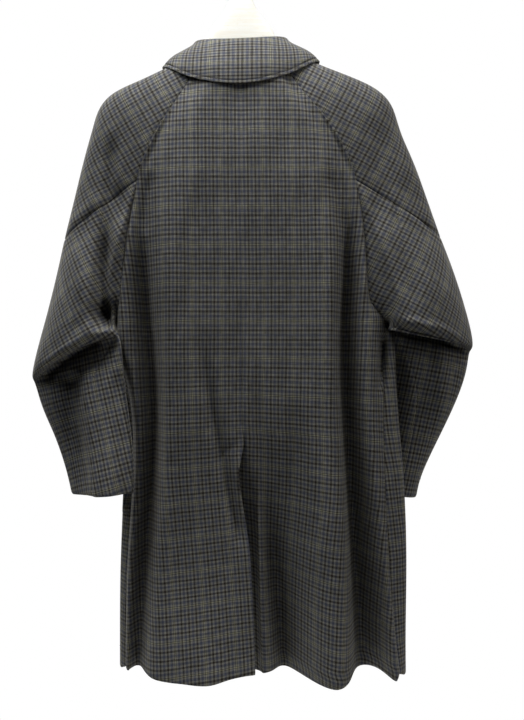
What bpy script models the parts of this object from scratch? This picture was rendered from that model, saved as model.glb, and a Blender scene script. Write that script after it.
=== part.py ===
"""A knee-length raglan coat on a hanger, its back towards -Y.

Lengths are in metres, +Z is up and +X is to the right for someone who looks at the
coat's back. The origin is the top of the inside of the hanger's hook. Heights are
written as drops below the hook. Every cloth piece is a surface worked out from the
tables below, and then given a wall.
"""

import math
from collections import namedtuple

import bpy
import numpy as np

# Cloth
WALL = 0.0016
COLLAR_WALL = 0.0026
SEAM_GAP = 0.0003
# Pieces that meet at an angle are drawn in so that their walls stay clear.
MITRE_EASE = 1.4
SHARPEST_SEAM = math.cos(math.radians(36))
# A grid's edge and the line beside it, at its start and at its end.
FIRST_COLUMNS = (0, 1)
LAST_COLUMNS = (-1, -2)
# The coat hangs this far to the right of the hook.
COAT_SHIFT = 0.0095

# The levels that every fold is measured at, as drops below the hook.
Levels = namedtuple("Levels", "neck blade underarm waist seat hem")
LEVELS = Levels(0.180, 0.362, 0.570, 0.752, 0.930, 1.100)
# Rows of faces between one level and the next.
LEVEL_ROWS = (8, 6, 5, 6, 5)
RAGLAN_ROWS = LEVEL_ROWS[0]
ARMHOLE_ROWS = LEVEL_ROWS[1]

# A fold is a line down a panel, as (x, y) at each level from the shoulder blades down.
# top and hem say how much lower the line starts and ends than the levels do.
Fold = namedtuple("Fold", "name top hem at_blade at_underarm at_waist at_seat at_hem")
# Columns of faces between one fold of a panel and the next, and on to its outer edge.
BACK_RIGHT_COLUMNS = (2, 1, 2, 3, 3, 3, 2, 3, 3)
BACK_LEFT_COLUMNS = (3, 3, 3, 3, 3, 3)
FRONT_RIGHT_COLUMNS = (2, 2, 2, 2, 3, 2)
FRONT_LEFT_COLUMNS = (3, 3, 3, 2)
# How fast a fold's following of its panel's edge dies away from that edge.
EDGE_PULL = 6
# The levels between which a fold changes from a share of the panel to its own line.
OWN_LINE_FROM = 0.3
OWN_LINE_TO = 1.0
# How many levels a lower start or a lower hem takes to die away.
LOWERED_LEVELS = 2
# Where the first fold of each panel meets the neck.
BACK_NECK = (-0.009, -0.062)
FRONT_RIGHT_NECK = (-0.046, 0.050)
FRONT_LEFT_NECK = (0.026, 0.057)

BACK_RIGHT_FOLDS = (
    Fold("centre", 0, -0.005, (-0.007, -0.080), (-0.005, -0.086), (-0.005, -0.087),
         (0.004, -0.078), (0.016, -0.070)),
    Fold("vent dive", 0, -0.005, (0.003, -0.081), (0.005, -0.087), (0.005, -0.087),
         (0.008, -0.072), (0.019, -0.064)),
    Fold("vent ridge", 0, -0.004, (0.016, -0.082), (0.018, -0.088), (0.018, -0.089),
         (0.022, -0.086), (0.031, -0.084)),
    Fold("vent valley", 0, -0.005, (0.045, -0.082), (0.048, -0.090), (0.045, -0.088),
         (0.052, -0.070), (0.058, -0.050)),
    Fold("ridge", 0, 0.008, (0.100, -0.079), (0.103, -0.094), (0.104, -0.099),
         (0.116, -0.113), (0.124, -0.122)),
    Fold("ridge edge", 0, 0.006, (0.124, -0.072), (0.126, -0.088), (0.128, -0.090),
         (0.138, -0.100), (0.143, -0.108)),
    Fold("valley floor", 0, -0.003, (0.140, -0.064), (0.146, -0.058), (0.145, -0.048),
         (0.154, -0.040), (0.159, -0.036)),
    Fold("valley rise", 0, -0.003, (0.150, -0.061), (0.159, -0.064), (0.160, -0.054),
         (0.175, -0.040), (0.186, -0.032)),
    Fold("side ridge", 0, 0.008, (0.158, -0.059), (0.176, -0.074), (0.182, -0.077),
         (0.205, -0.074), (0.222, -0.084)),
)
BACK_LEFT_FOLDS = (
    Fold("centre", 0, -0.006, (-0.007, -0.080), (-0.005, -0.086), (-0.005, -0.087),
         (0.005, -0.091), (0.013, -0.086)),
    Fold("flat", 0, -0.004, (-0.040, -0.082), (-0.042, -0.090), (-0.042, -0.093),
         (-0.030, -0.095), (-0.020, -0.088)),
    Fold("ridge", 0, 0.003, (-0.083, -0.083), (-0.085, -0.094), (-0.084, -0.096),
         (-0.070, -0.102), (-0.056, -0.112)),
    Fold("ridge edge", 0, -0.002, (-0.126, -0.073), (-0.128, -0.086), (-0.122, -0.086),
         (-0.106, -0.086), (-0.098, -0.084)),
    Fold("valley floor", 0, -0.003, (-0.148, -0.062), (-0.156, -0.052), (-0.148, -0.040),
         (-0.138, -0.053), (-0.130, -0.054)),
    Fold("side ridge", 0, -0.002, (-0.158, -0.058), (-0.176, -0.064), (-0.159, -0.056),
         (-0.161, -0.064), (-0.160, -0.068)),
)
FRONT_RIGHT_FOLDS = (
    Fold("lap edge", 0.065, 0.000, (-0.040, 0.070), (-0.036, 0.080), (-0.034, 0.084),
         (-0.030, 0.086), (-0.026, 0.086)),
    Fold("lap start", 0.058, 0.000, (0.040, 0.070), (0.044, 0.080), (0.046, 0.084),
         (0.050, 0.086), (0.054, 0.086)),
    Fold("front", 0.045, 0.000, (0.092, 0.068), (0.104, 0.080), (0.106, 0.082),
         (0.112, 0.086), (0.116, 0.088)),
    Fold("front side", 0.030, 0.002, (0.132, 0.062), (0.164, 0.060), (0.160, 0.056),
         (0.178, 0.062), (0.188, 0.064)),
    Fold("dent", 0.022, 0.004, (0.150, 0.056), (0.206, 0.004), (0.194, 0.004),
         (0.214, 0.012), (0.226, 0.012)),
    Fold("side turn", 0.018, 0.007, (0.159, 0.052), (0.2110, -0.033), (0.232, -0.044),
         (0.241, -0.042), (0.240, -0.044)),
)
FRONT_LEFT_FOLDS = (
    Fold("lap edge", 0.065, 0.000, (0.030, 0.077), (0.034, 0.087), (0.036, 0.091),
         (0.040, 0.093), (0.044, 0.093)),
    Fold("front", 0.045, 0.000, (-0.086, 0.070), (-0.092, 0.082), (-0.090, 0.084),
         (-0.086, 0.088), (-0.082, 0.089)),
    Fold("front side", 0.030, 0.004, (-0.134, 0.062), (-0.160, 0.062), (-0.154, 0.062),
         (-0.158, 0.066), (-0.156, 0.066)),
    Fold("side turn", 0.018, 0.010, (-0.159, 0.052), (-0.199, -0.020), (-0.189, 0.010),
         (-0.196, 0.012), (-0.197, 0.010)),
)

# Edges shared by two panels, as places down them.
Edge = namedtuple("Edge", "drop x y")
RAGLAN_RIGHT = (
    Edge(0.180, 0.052, -0.038), Edge(0.229, 0.086, -0.052), Edge(0.275, 0.123, -0.059),
    Edge(0.331, 0.154, -0.060), Edge(0.362, 0.164, -0.058),
)
RAGLAN_LEFT = (
    Edge(0.180, -0.071, -0.038), Edge(0.236, -0.103, -0.052), Edge(0.290, -0.136, -0.059),
    Edge(0.340, -0.158, -0.058), Edge(0.362, -0.165, -0.056),
)
ARMHOLE_RIGHT = (
    Edge(0.362, 0.164, -0.058), Edge(0.410, 0.172, -0.058), Edge(0.457, 0.177, -0.060),
    Edge(0.520, 0.181, -0.062), Edge(0.547, 0.187, -0.060), Edge(0.570, 0.210, -0.048),
)
ARMHOLE_LEFT = (
    Edge(0.362, -0.165, -0.056), Edge(0.410, -0.174, -0.054), Edge(0.467, -0.183, -0.054),
    Edge(0.527, -0.189, -0.054), Edge(0.552, -0.193, -0.050), Edge(0.570, -0.200, -0.045),
)
SIDE_RIGHT = (
    Edge(0.570, 0.210, -0.048), Edge(0.692, 0.206, -0.056), Edge(0.797, 0.207, -0.060),
    Edge(1.006, 0.218, -0.066), Edge(1.120, 0.232, -0.066),
)
SIDE_LEFT = (
    Edge(0.570, -0.200, -0.045), Edge(0.640, -0.189, -0.026), Edge(0.720, -0.177, -0.013),
    Edge(0.850, -0.178, -0.012), Edge(0.960, -0.184, -0.016), Edge(1.120, -0.184, -0.020),
)
FRONT_RAGLAN_RIGHT = (
    Edge(0.196, 0.055, 0.032), Edge(0.240, 0.092, 0.044), Edge(0.290, 0.130, 0.050),
    Edge(0.335, 0.155, 0.051), Edge(0.362, 0.165, 0.049),
)
FRONT_RAGLAN_LEFT = (
    Edge(0.196, -0.075, 0.032), Edge(0.240, -0.107, 0.044), Edge(0.290, -0.140, 0.050),
    Edge(0.335, -0.160, 0.051), Edge(0.362, -0.167, 0.049),
)
FRONT_ARMHOLE_RIGHT = (
    Edge(0.362, 0.165, 0.049), Edge(0.410, 0.173, 0.047), Edge(0.460, 0.179, 0.040),
    Edge(0.515, 0.189, 0.014), Edge(0.548, 0.199, -0.018), Edge(0.570, 0.210, -0.048),
)
FRONT_ARMHOLE_LEFT = (
    Edge(0.362, -0.167, 0.049), Edge(0.410, -0.175, 0.047), Edge(0.460, -0.182, 0.040),
    Edge(0.515, -0.190, 0.014), Edge(0.548, -0.196, -0.018), Edge(0.570, -0.200, -0.045),
)
# The line over the shoulder and down the outside of the arm.
OVERARM_RIGHT = (
    Edge(0.155, 0.063, 0.0), Edge(0.178, 0.110, 0.0), Edge(0.196, 0.156, 0.0),
    Edge(0.216, 0.199, 0.0), Edge(0.241, 0.223, 0.0), Edge(0.279, 0.236, 0.0),
    Edge(0.327, 0.256, 0.0), Edge(0.384, 0.277, 0.0), Edge(0.446, 0.299, 0.0),
)
OVERARM_LEFT = (
    Edge(0.163, -0.082, 0.0), Edge(0.187, -0.130, 0.0), Edge(0.207, -0.174, 0.0),
    Edge(0.226, -0.211, 0.0), Edge(0.248, -0.229, 0.0), Edge(0.272, -0.237, 0.0),
    Edge(0.319, -0.250, 0.0), Edge(0.384, -0.266, 0.0), Edge(0.449, -0.282, 0.0),
)

# The back vent: the right back panel runs on under the left one below the waist.
VENT_UNDERLAP = 0.042
VENT_RECESS = 0.020
VENT_START = 0.020
VENT_OPENS_OVER = 0.040
VENT_CLEAR = 0.0010
VENT_CLEAR_RISE = 6
# The left panel's edge stands off most at this drop.
VENT_LIFT_DROP = 0.800
VENT_CURL = 0.008
VENT_SWING = 0.009

# A ring of a lower sleeve, from its outer to its inner side, with how far it swells to
# the back and the front, how much lower those middles lie, and the angle round it of
# the back-arm seam, in degrees.
Ring = namedtuple(
    "Ring",
    "name outer_x outer_drop outer_y inner_x inner_drop inner_y back front back_low front_low seam",
)
SLEEVE_RIGHT = (
    Ring("upper arm", 0.327, 0.522, 0.000, 0.2215, 0.5770, -0.047, 0.062, 0.066, 0.000, 0.000, 128),
    Ring("buckle edge", 0.348, 0.610, 0.000, 0.2190, 0.5850, -0.045, 0.054, 0.070, 0.002, 0.010, 152),
    Ring("buckle tuck", 0.345, 0.619, 0.004, 0.2185, 0.5940, -0.034, 0.020, 0.066, -0.018, 0.034, 146),
    Ring("elbow", 0.341, 0.646, 0.012, 0.2170, 0.6400, 0.022, 0.040, 0.052, 0.012, 0.026, 112),
    Ring("forearm", 0.311, 0.733, 0.032, 0.2130, 0.7350, 0.042, 0.042, 0.046, 0.000, 0.000, 95),
    Ring("wrist", 0.275, 0.815, 0.044, 0.2070, 0.8120, 0.048, 0.042, 0.044, 0.000, 0.000, 86),
    Ring("cuff", 0.267, 0.849, 0.046, 0.2060, 0.8400, 0.048, 0.041, 0.043, 0.000, 0.000, 82),
)
SLEEVE_LEFT = (
    Ring("upper arm", -0.307, 0.556, 0.000, -0.2080, 0.5780, -0.046, 0.060, 0.066, 0.000, 0.000, 124),
    Ring("buckle edge", -0.331, 0.656, -0.002, -0.2045, 0.5880, -0.051, 0.050, 0.066, -0.004, 0.004, 146),
    Ring("buckle tuck", -0.329, 0.667, 0.002, -0.1950, 0.6030, -0.060, 0.012, 0.062, -0.018, 0.024, 146),
    Ring("elbow", -0.318, 0.699, -0.002, -0.1840, 0.6520, -0.068, 0.024, 0.056, 0.006, 0.020, 104),
    Ring("forearm", -0.296, 0.747, -0.012, -0.1710, 0.7420, -0.082, 0.024, 0.044, 0.000, 0.000, 92),
    Ring("wrist", -0.275, 0.802, -0.024, -0.1660, 0.8000, -0.088, 0.024, 0.040, 0.000, 0.000, 83),
    Ring("cuff", -0.266, 0.836, -0.030, -0.1660, 0.8280, -0.088, 0.024, 0.038, 0.000, 0.000, 76),
)
# Rows of faces between one ring and the next, from the top of the sleeve.
RING_ROWS = (4, 3, 3, 3, 3, 2, 1)
# Faces round a sleeve, from the overarm line to the raglan seam's foot, which of those
# columns the back-arm seam follows, and where both lie round the top of a sleeve.
BICEP_COLUMNS = 8
SEAM_COLUMN = 6
SEAM_TOP_ANGLE = math.radians(86)
RAGLAN_FOOT_ANGLE = math.radians(115)
# How far a shoulder piece stands up between its seams and the overarm line.
YOKE_LIFT = 0.004

# A trough down the back of an upper sleeve, along its back-arm seam.
Trough = namedtuple("Trough", "width depth first last")
TROUGH_LEFT = Trough(math.radians(14), 0.020, 0.15, 1.95)
TROUGH_RIGHT = Trough(math.radians(18), 0.006, 0.15, 1.6)
TROUGH_FADE_IN = 0.5
TROUGH_FADE_OUT = 0.4

# The collar's ovals round the neck.
Oval = namedtuple("Oval", "name half_width back front drop_back drop_side drop_front")
NECK_SEAM = Oval("neck seam", 0.071, 0.059, 0.049, 0.1770, 0.1540, 0.2340)
COLLAR_FOLD = Oval("fold", 0.070, 0.056, 0.053, 0.1480, 0.1390, 0.2120)
COLLAR_EDGE = Oval("edge", 0.121, 0.090, 0.106, 0.2210, 0.1760, 0.2680)
COLLAR_X = -0.0095
COLLAR_TILT = 0.040
COLLAR_REACH = math.radians(174)
# How far the fall bows out and up, the stand leans in and the stand's foot is lifted.
BOW_OUT = 0.004
BOW_UP = 0.003
STAND_LEAN = 0.001
FOOT_LIFT = 0.0015
FOLD_ROUND = 0.0045
COLLAR_COLUMNS = 28
COLLAR_ROWS = 9

# The hanger, as places along one arm: the top, the underside and half its thickness.
Arm = namedtuple("Arm", "x top under half")
HANGER = (
    Arm(0.000, 0.062, 0.160, 0.0090), Arm(0.011, 0.063, 0.161, 0.0090),
    Arm(0.017, 0.072, 0.163, 0.0090), Arm(0.026, 0.092, 0.167, 0.0090),
    Arm(0.042, 0.112, 0.178, 0.0095), Arm(0.052, 0.130, 0.187, 0.0100),
    Arm(0.060, 0.157, 0.194, 0.0105), Arm(0.072, 0.170, 0.204, 0.0110),
    Arm(0.120, 0.192, 0.226, 0.0130), Arm(0.165, 0.214, 0.243, 0.0160),
    Arm(0.195, 0.231, 0.254, 0.0175), Arm(0.202, 0.236, 0.252, 0.0130),
)
HANGER_ROUND = 14
HANGER_SQUARE = 0.62

# The hook, a bent wire.
HOOK_INSIDE = 0.018
HOOK_WIRE = 0.0021
HOOK_STEM_TOP = 0.050
HOOK_FROM = math.radians(-50)
HOOK_TO = math.radians(208)
HOOK_ROUND = 8
HOOK_STEPS = 18
HOOK_BEND_STEPS = 6


def spline(points, places):
    """Smooth lines through stations.

    A natural cubic spline runs through each column of points (station, column, number).
    Its parameter is the root of the distance from one station to the next. The places
    are in stations, counted from 0.
    """
    points = np.asarray(points, float)
    count, columns = points.shape[:2]
    places = np.asarray(places, float)
    step = np.sqrt(np.linalg.norm(np.diff(points, axis=0), axis=2)) + 1e-9
    slope = np.diff(points, axis=0) / step[..., None]
    matrix = np.zeros((columns, count, count))
    right = np.zeros((columns, count, points.shape[2]))
    matrix[:, 0, 0] = 1
    matrix[:, -1, -1] = 1
    for i in range(1, count - 1):
        matrix[:, i, i - 1] = step[i - 1]
        matrix[:, i, i] = 2 * (step[i - 1] + step[i])
        matrix[:, i, i + 1] = step[i]
        right[:, i] = 6 * (slope[i] - slope[i - 1])
    bend = np.linalg.solve(matrix, right).transpose(1, 0, 2)
    low = np.clip(np.floor(places).astype(int), 0, count - 2)
    part = (places - low)[:, None, None]
    square = step[low][..., None] ** 2 / 6
    return (
        (1 - part) * points[low] + part * points[low + 1]
        + ((1 - part) ** 3 - (1 - part)) * square * bend[low]
        + (part ** 3 - part) * square * bend[low + 1]
    )


def spline_line(points, places):
    """One smooth line through points (station, number)."""
    return spline(np.asarray(points, float)[:, None, :], places)[:, 0, :]


def smooth_step(values, start, end):
    """Rises from 0 at start to 1 at end, level at both."""
    part = np.clip((np.asarray(values, float) - start) / (end - start), 0, 1)
    return part * part * (3 - 2 * part)


def stations(counts):
    """Places from 0 to len(counts), with so many steps between one whole number and the next."""
    places = [0.0]
    for index, count in enumerate(counts):
        places += [index + step / count for step in range(1, count + 1)]
    return np.array(places)


ROW_PLACES = stations(LEVEL_ROWS)
ROW_DROPS = spline_line(np.array(LEVELS)[:, None], ROW_PLACES)[:, 0]


def edge_at(edges, drops):
    """Points (x, y, drop) of a smooth edge at the given drops."""
    drop, x, y = spline_line(edges, np.linspace(0, len(edges) - 1, 40 * len(edges))).T
    return np.stack((np.interp(drops, drop, x), np.interp(drops, drop, y), drops), axis=1)


def edge_stations(edges, count):
    """Points (x, y, drop) of a smooth edge, evenly numbered along its table."""
    drop, x, y = spline_line(edges, np.linspace(0, len(edges) - 1, count)).T
    return np.stack((x, y, drop), axis=1)


def joined_edge(parts, drops):
    """Points of edges that follow one another down a panel."""
    points = np.zeros((len(drops), 3))
    for edges in parts:
        inside = (drops >= edges[0].drop - 1e-6) & (drops <= edges[-1].drop + 1e-6)
        points[inside] = edge_at(edges, drops[inside])
    return points


def lowered(drops, top, hem):
    """Row drops of a line that starts `top` lower and ends `hem` lower than the levels."""
    from_top = np.clip(1 - ROW_PLACES / LOWERED_LEVELS, 0, 1) ** 2
    to_hem = np.clip(1 - (len(LEVEL_ROWS) - ROW_PLACES) / LOWERED_LEVELS, 0, 1) ** 2
    return drops + top * from_top + hem * to_hem


def fold_lines(folds, neck, edge, follow):
    """Points (line, row, xyz) of a panel's folds and its outer edge, with drop third.

    Above the blades each fold keeps its share of the panel's width and depth. Below
    them, where `follow` is 1, the folds nearest the edge turn with it.
    """
    at_levels = [np.argmin(np.abs(ROW_PLACES - level)) for level in range(len(LEVELS))]
    key = edge[at_levels, :2]
    drops = np.array(LEVELS)[:, None]
    start = np.array((neck,) + folds[0][3:])
    first = spline_line(np.hstack((start, drops)), ROW_PLACES)[:, :2]
    upper = (1 - smooth_step(ROW_PLACES, OWN_LINE_FROM, OWN_LINE_TO))[:, None]
    lines = []
    for fold in folds:
        plan = np.array((neck,) + fold[3:])
        share = (plan[1] - key[1]) / (start[1] - key[1])
        scaled = edge[:, :2] + share * (first - edge[:, :2])
        plan[0] = scaled[0]
        near = np.clip(1 - (plan[:, :1] - key[:, :1]) / (start[:, :1] - key[:, :1]), 0, 1)
        near = follow * near ** EDGE_PULL
        kept = spline_line(np.hstack((plan - near * key, drops)), ROW_PLACES)[:, :2]
        nearness = np.interp(ROW_PLACES, np.arange(len(LEVELS)), near[:, 0])[:, None]
        plan = kept + nearness * edge[:, :2]
        plan = upper * scaled + (1 - upper) * plan
        lines.append(np.column_stack((plan, lowered(ROW_DROPS, fold.top, fold.hem))))
    lines.append(edge)
    return np.array(lines)


def panel(folds, neck, columns, edges, top=0.0, follow=0.0, shape_lines=None):
    """A panel's points (row, column, xyz) from its folds to its outer edge."""
    edge = joined_edge(edges, lowered(ROW_DROPS, top, 0.0))
    lines = fold_lines(folds, neck, edge, follow)
    if shape_lines:
        lines = shape_lines(lines)
    return spline(lines, stations(columns)).transpose(1, 0, 2)


def drawn_in(edge, beside, other):
    """An edge drawn in for a seam with another piece.

    It moves towards its own next line by half the seam's gap, and by as much again as
    keeps the walls clear where the two pieces meet at an angle.
    """
    along = np.gradient(edge, axis=0)
    along /= np.linalg.norm(along, axis=1, keepdims=True)

    def square_way(line):
        way = line - edge
        way = way - (way * along).sum(axis=1, keepdims=True) * along
        return way / np.linalg.norm(way, axis=1, keepdims=True)

    own = square_way(beside)
    cosine = np.clip((own * square_way(other)).sum(axis=1), -1, SHARPEST_SEAM)
    mitre = MITRE_EASE * WALL / 2 * np.sqrt((1 + cosine) / (1 - cosine))
    return edge + (SEAM_GAP / 2 + mitre)[:, None] * own


def sew(first, first_columns, second, second_columns):
    """Draws in two grids (row, column, xyz) that share an edge.

    Each pair of columns is a grid's shared edge and the line beside it.
    """
    edge, beside = first_columns
    other_edge, other_beside = second_columns
    mine = drawn_in(first[:, edge], first[:, beside], second[:, other_beside])
    theirs = drawn_in(second[:, other_edge], second[:, other_beside], first[:, beside])
    first[:, edge] = mine
    second[:, other_edge] = theirs


def open_vent_right(lines):
    """Runs the centre edge of the right back panel on under the left one below the waist."""
    drop = lines[0, :, 2]
    behind = smooth_step(drop, LEVELS.waist - VENT_START, LEVELS.waist + VENT_OPENS_OVER)
    aside = smooth_step(drop, LEVELS.waist, LEVELS.waist + VENT_OPENS_OVER)
    clear = VENT_CLEAR * np.minimum(1, VENT_CLEAR_RISE * behind) * (1 - aside)
    lines[0, :, 0] += clear - VENT_UNDERLAP * aside
    lines[0, :, 1] += VENT_RECESS * behind
    return lines


def open_vent_left(lines):
    """Lifts the left back panel's edge off the right one at the top of the vent."""
    drop = lines[0, :, 2]
    lift = smooth_step(drop, LEVELS.waist, VENT_LIFT_DROP)
    lift = lift * (1 - smooth_step(drop, VENT_LIFT_DROP, LEVELS.seat))
    lines[0, :, 0] -= VENT_SWING * lift
    lines[0, :, 1] -= VENT_CURL * lift
    return lines


def yoke(back, overarm, front, down):
    """A raglan shoulder piece's points (row, column, xyz), from the neck to its cross seam."""
    across = np.linspace(0, 1, BICEP_COLUMNS + 1)[None, :, None]

    def half(seam):
        seam = seam[:, None, :]
        ridge = overarm[:, None, :]
        knee = np.concatenate((ridge[..., :1], seam[..., 1:2], ridge[..., 2:] - down), axis=2)
        return (1 - across) ** 2 * seam + 2 * across * (1 - across) * knee + across ** 2 * ridge

    back_half = half(back)
    front_half = half(front)[:, ::-1]
    return np.concatenate((back_half, front_half[:, 1:]), axis=1)


def ring_points(ring, angles):
    """Points of one sleeve ring at the given angles, from the outer side round by the back."""
    outer = np.array((ring.outer_x, ring.outer_y, ring.outer_drop))
    inner = np.array((ring.inner_x, ring.inner_y, ring.inner_drop))
    across = np.cos(angles)[:, None] * (outer - inner) / 2
    swell = np.sin(angles)
    deep = np.where(swell > 0, -ring.back * swell, -ring.front * swell)
    low = np.where(swell > 0, ring.back_low, ring.front_low) * swell ** 2
    return (outer + inner) / 2 + across + np.stack((np.zeros_like(deep), deep, low), axis=1)


def ring_angles(seam):
    """Angles of a sleeve's columns round a ring whose back-arm seam is at `seam`."""
    foot = 2 * math.pi - RAGLAN_FOOT_ANGLE
    behind = BICEP_COLUMNS - SEAM_COLUMN + ARMHOLE_ROWS
    return np.concatenate((
        np.linspace(0, seam, SEAM_COLUMN + 1),
        np.linspace(seam, math.pi, behind + 1)[1:],
        np.linspace(math.pi, foot, ARMHOLE_ROWS + 1)[1:],
        np.linspace(foot, 2 * math.pi, BICEP_COLUMNS + 1)[1:],
    ))


def sleeve(top_loop, rings, trough):
    """A lower sleeve's points (row, column, xyz) from its top loop to its cuff."""
    seams = np.array([SEAM_TOP_ANGLE] + [math.radians(ring.seam) for ring in rings])
    turns = np.array([ring_angles(seam) for seam in seams])
    loops = [top_loop] + [ring_points(ring, turn) for ring, turn in zip(rings, turns[1:])]
    places = stations(RING_ROWS)
    points = spline(np.array(loops), places)
    along = smooth_step(places, trough.first, trough.first + TROUGH_FADE_IN)
    along = along * (1 - smooth_step(places, trough.last - TROUGH_FADE_OUT, trough.last))
    count = np.arange(len(seams))
    off_seam = np.array([np.interp(places, count, turn) for turn in (turns - seams[:, None]).T]).T
    points[..., 1] += trough.depth * along[:, None] * np.exp(-(off_seam / trough.width) ** 2)
    return points


def oval_points(oval, angles):
    """Points of one of the collar's ovals, by angle from the centre back."""
    side = np.sin(angles)
    ahead = -np.cos(angles)
    x = oval.half_width * side
    y = np.where(ahead < 0, oval.back * ahead, oval.front * ahead)
    end_drop = np.where(ahead < 0, oval.drop_back, oval.drop_front)
    drop = oval.drop_side + (end_drop - oval.drop_side) * ahead ** 2 - COLLAR_TILT * x
    return np.stack((x + COLLAR_X, y, drop), axis=1)


def collar_points():
    """The collar's points (row, column, xyz): up the stand, over the fold, down the fall."""
    angles = np.linspace(-COLLAR_REACH, COLLAR_REACH, COLLAR_COLUMNS + 1)
    seam = oval_points(NECK_SEAM, angles)
    fold = oval_points(COLLAR_FOLD, angles)
    edge = oval_points(COLLAR_EDGE, angles)
    out = np.stack((np.sin(angles), -np.cos(angles), np.zeros_like(angles)), axis=1)
    down = np.array((0.0, 0.0, 1.0))
    inside = fold + FOLD_ROUND * (down - out)
    outside = fold + FOLD_ROUND * (out + down)
    seam = seam - FOOT_LIFT * (out + down)
    stand = (seam + inside) / 2 - STAND_LEAN * out
    fall = (outside + edge) / 2 + BOW_OUT * out - BOW_UP * down
    lines = np.array((seam, stand, inside, fold, outside, fall, edge))
    rows = np.linspace(0, len(lines) - 1, COLLAR_ROWS + 1)
    return spline(lines, rows)


def material(name, colour, roughness, metallic=0.0):
    """A plain Principled material."""
    made = bpy.data.materials.new(name)
    made.use_nodes = True
    shader = made.node_tree.nodes["Principled BSDF"]
    shader.inputs["Base Color"].default_value = (*colour, 1.0)
    shader.inputs["Roughness"].default_value = roughness
    shader.inputs["Metallic"].default_value = metallic
    return made


def mesh_object(name, points, faces, finish):
    """A named object from points and faces."""
    mesh = bpy.data.meshes.new(name)
    mesh.from_pydata([tuple(map(float, p)) for p in points], [], faces)
    mesh.update()
    made = bpy.data.objects.new(name, mesh)
    bpy.context.scene.collection.objects.link(made)
    mesh.materials.append(finish)
    return made


def to_metres(points):
    """Row-frame points from (x, y, drop), with the coat's shift from the hook."""
    return np.stack((points[..., 0] + COAT_SHIFT, points[..., 1], -points[..., 2]), axis=-1)


def cloth(name, grid, finish, wall=WALL):
    """A sheet of cloth with a wall, from a grid of (x, y, drop) points."""
    rows, columns = grid.shape[:2]
    corner = np.arange(rows * columns).reshape(rows, columns)
    faces = np.stack((corner[:-1, :-1], corner[1:, :-1], corner[1:, 1:], corner[:-1, 1:]), axis=-1)
    made = mesh_object(name, to_metres(grid).reshape(-1, 3), faces.reshape(-1, 4).tolist(), finish)
    wall_added = made.modifiers.new("wall", "SOLIDIFY")
    wall_added.thickness = wall
    wall_added.offset = 0.0
    wall_added.use_even_offset = False
    wall_added.use_quality_normals = True
    return made


def lofted(name, loops, finish):
    """A closed body through loops of points (loop, point, xyz), capped at both ends."""
    count, size = loops.shape[:2]
    corner = np.arange(count * size).reshape(count, size)
    after = np.roll(corner, -1, axis=1)
    faces = np.stack((corner[:-1], after[:-1], after[1:], corner[1:]), axis=-1).reshape(-1, 4).tolist()
    faces.append(corner[0][::-1].tolist())
    faces.append(corner[-1].tolist())
    return mesh_object(name, loops.reshape(-1, 3), faces, finish)


def hanger_loops():
    """Cross-sections of the hanger from its left tip to its right one."""
    turn = np.linspace(0, 2 * math.pi, HANGER_ROUND, endpoint=False)
    wide = np.sign(np.cos(turn)) * np.abs(np.cos(turn)) ** HANGER_SQUARE
    high = np.sign(np.sin(turn)) * np.abs(np.sin(turn)) ** HANGER_SQUARE
    whole = [arm._replace(x=-arm.x) for arm in HANGER[:0:-1]] + list(HANGER)
    loops = []
    for arm in whole:
        middle = (arm.top + arm.under) / 2
        z = -middle + (arm.under - arm.top) / 2 * high
        loops.append(np.stack((np.full_like(turn, arm.x), arm.half * wide, z), axis=1))
    return np.array(loops)


def hook_loops():
    """Rings of the hook's wire from the hanger's neck to its end."""
    radius = HOOK_INSIDE + HOOK_WIRE
    centre = np.array((0.0, -HOOK_INSIDE))
    turn = np.linspace(HOOK_FROM, HOOK_TO, HOOK_STEPS)
    arc = centre + radius * np.stack((np.cos(turn), np.sin(turn)), axis=1)
    way = np.array((-math.sin(HOOK_FROM), math.cos(HOOK_FROM)))
    knee = np.array((0.0, arc[0, 1] - way[1] * arc[0, 0] / way[0]))
    part = np.linspace(0, 1, HOOK_BEND_STEPS, endpoint=False)[:, None]
    start = np.array((0.0, -HOOK_STEM_TOP))
    bend = (1 - part) ** 2 * start + 2 * part * (1 - part) * knee + part ** 2 * arc[0]
    foot = np.array(((0.0, -(HANGER[0].top - SEAM_GAP)),))
    line = np.concatenate((foot, bend, arc))
    along = np.gradient(line, axis=0)
    along /= np.linalg.norm(along, axis=1, keepdims=True)
    along[0] = (0.0, 1.0)
    beside = np.stack((along[:, 1], -along[:, 0]), axis=1)
    ring = np.linspace(0, 2 * math.pi, HOOK_ROUND, endpoint=False)
    wide = HOOK_WIRE * np.cos(ring)
    deep = HOOK_WIRE * np.sin(ring)
    x = line[:, :1] + beside[:, :1] * wide
    z = line[:, 1:] + beside[:, 1:] * wide
    y = np.broadcast_to(deep, x.shape)
    return np.stack((x, y, z), axis=2)


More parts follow.
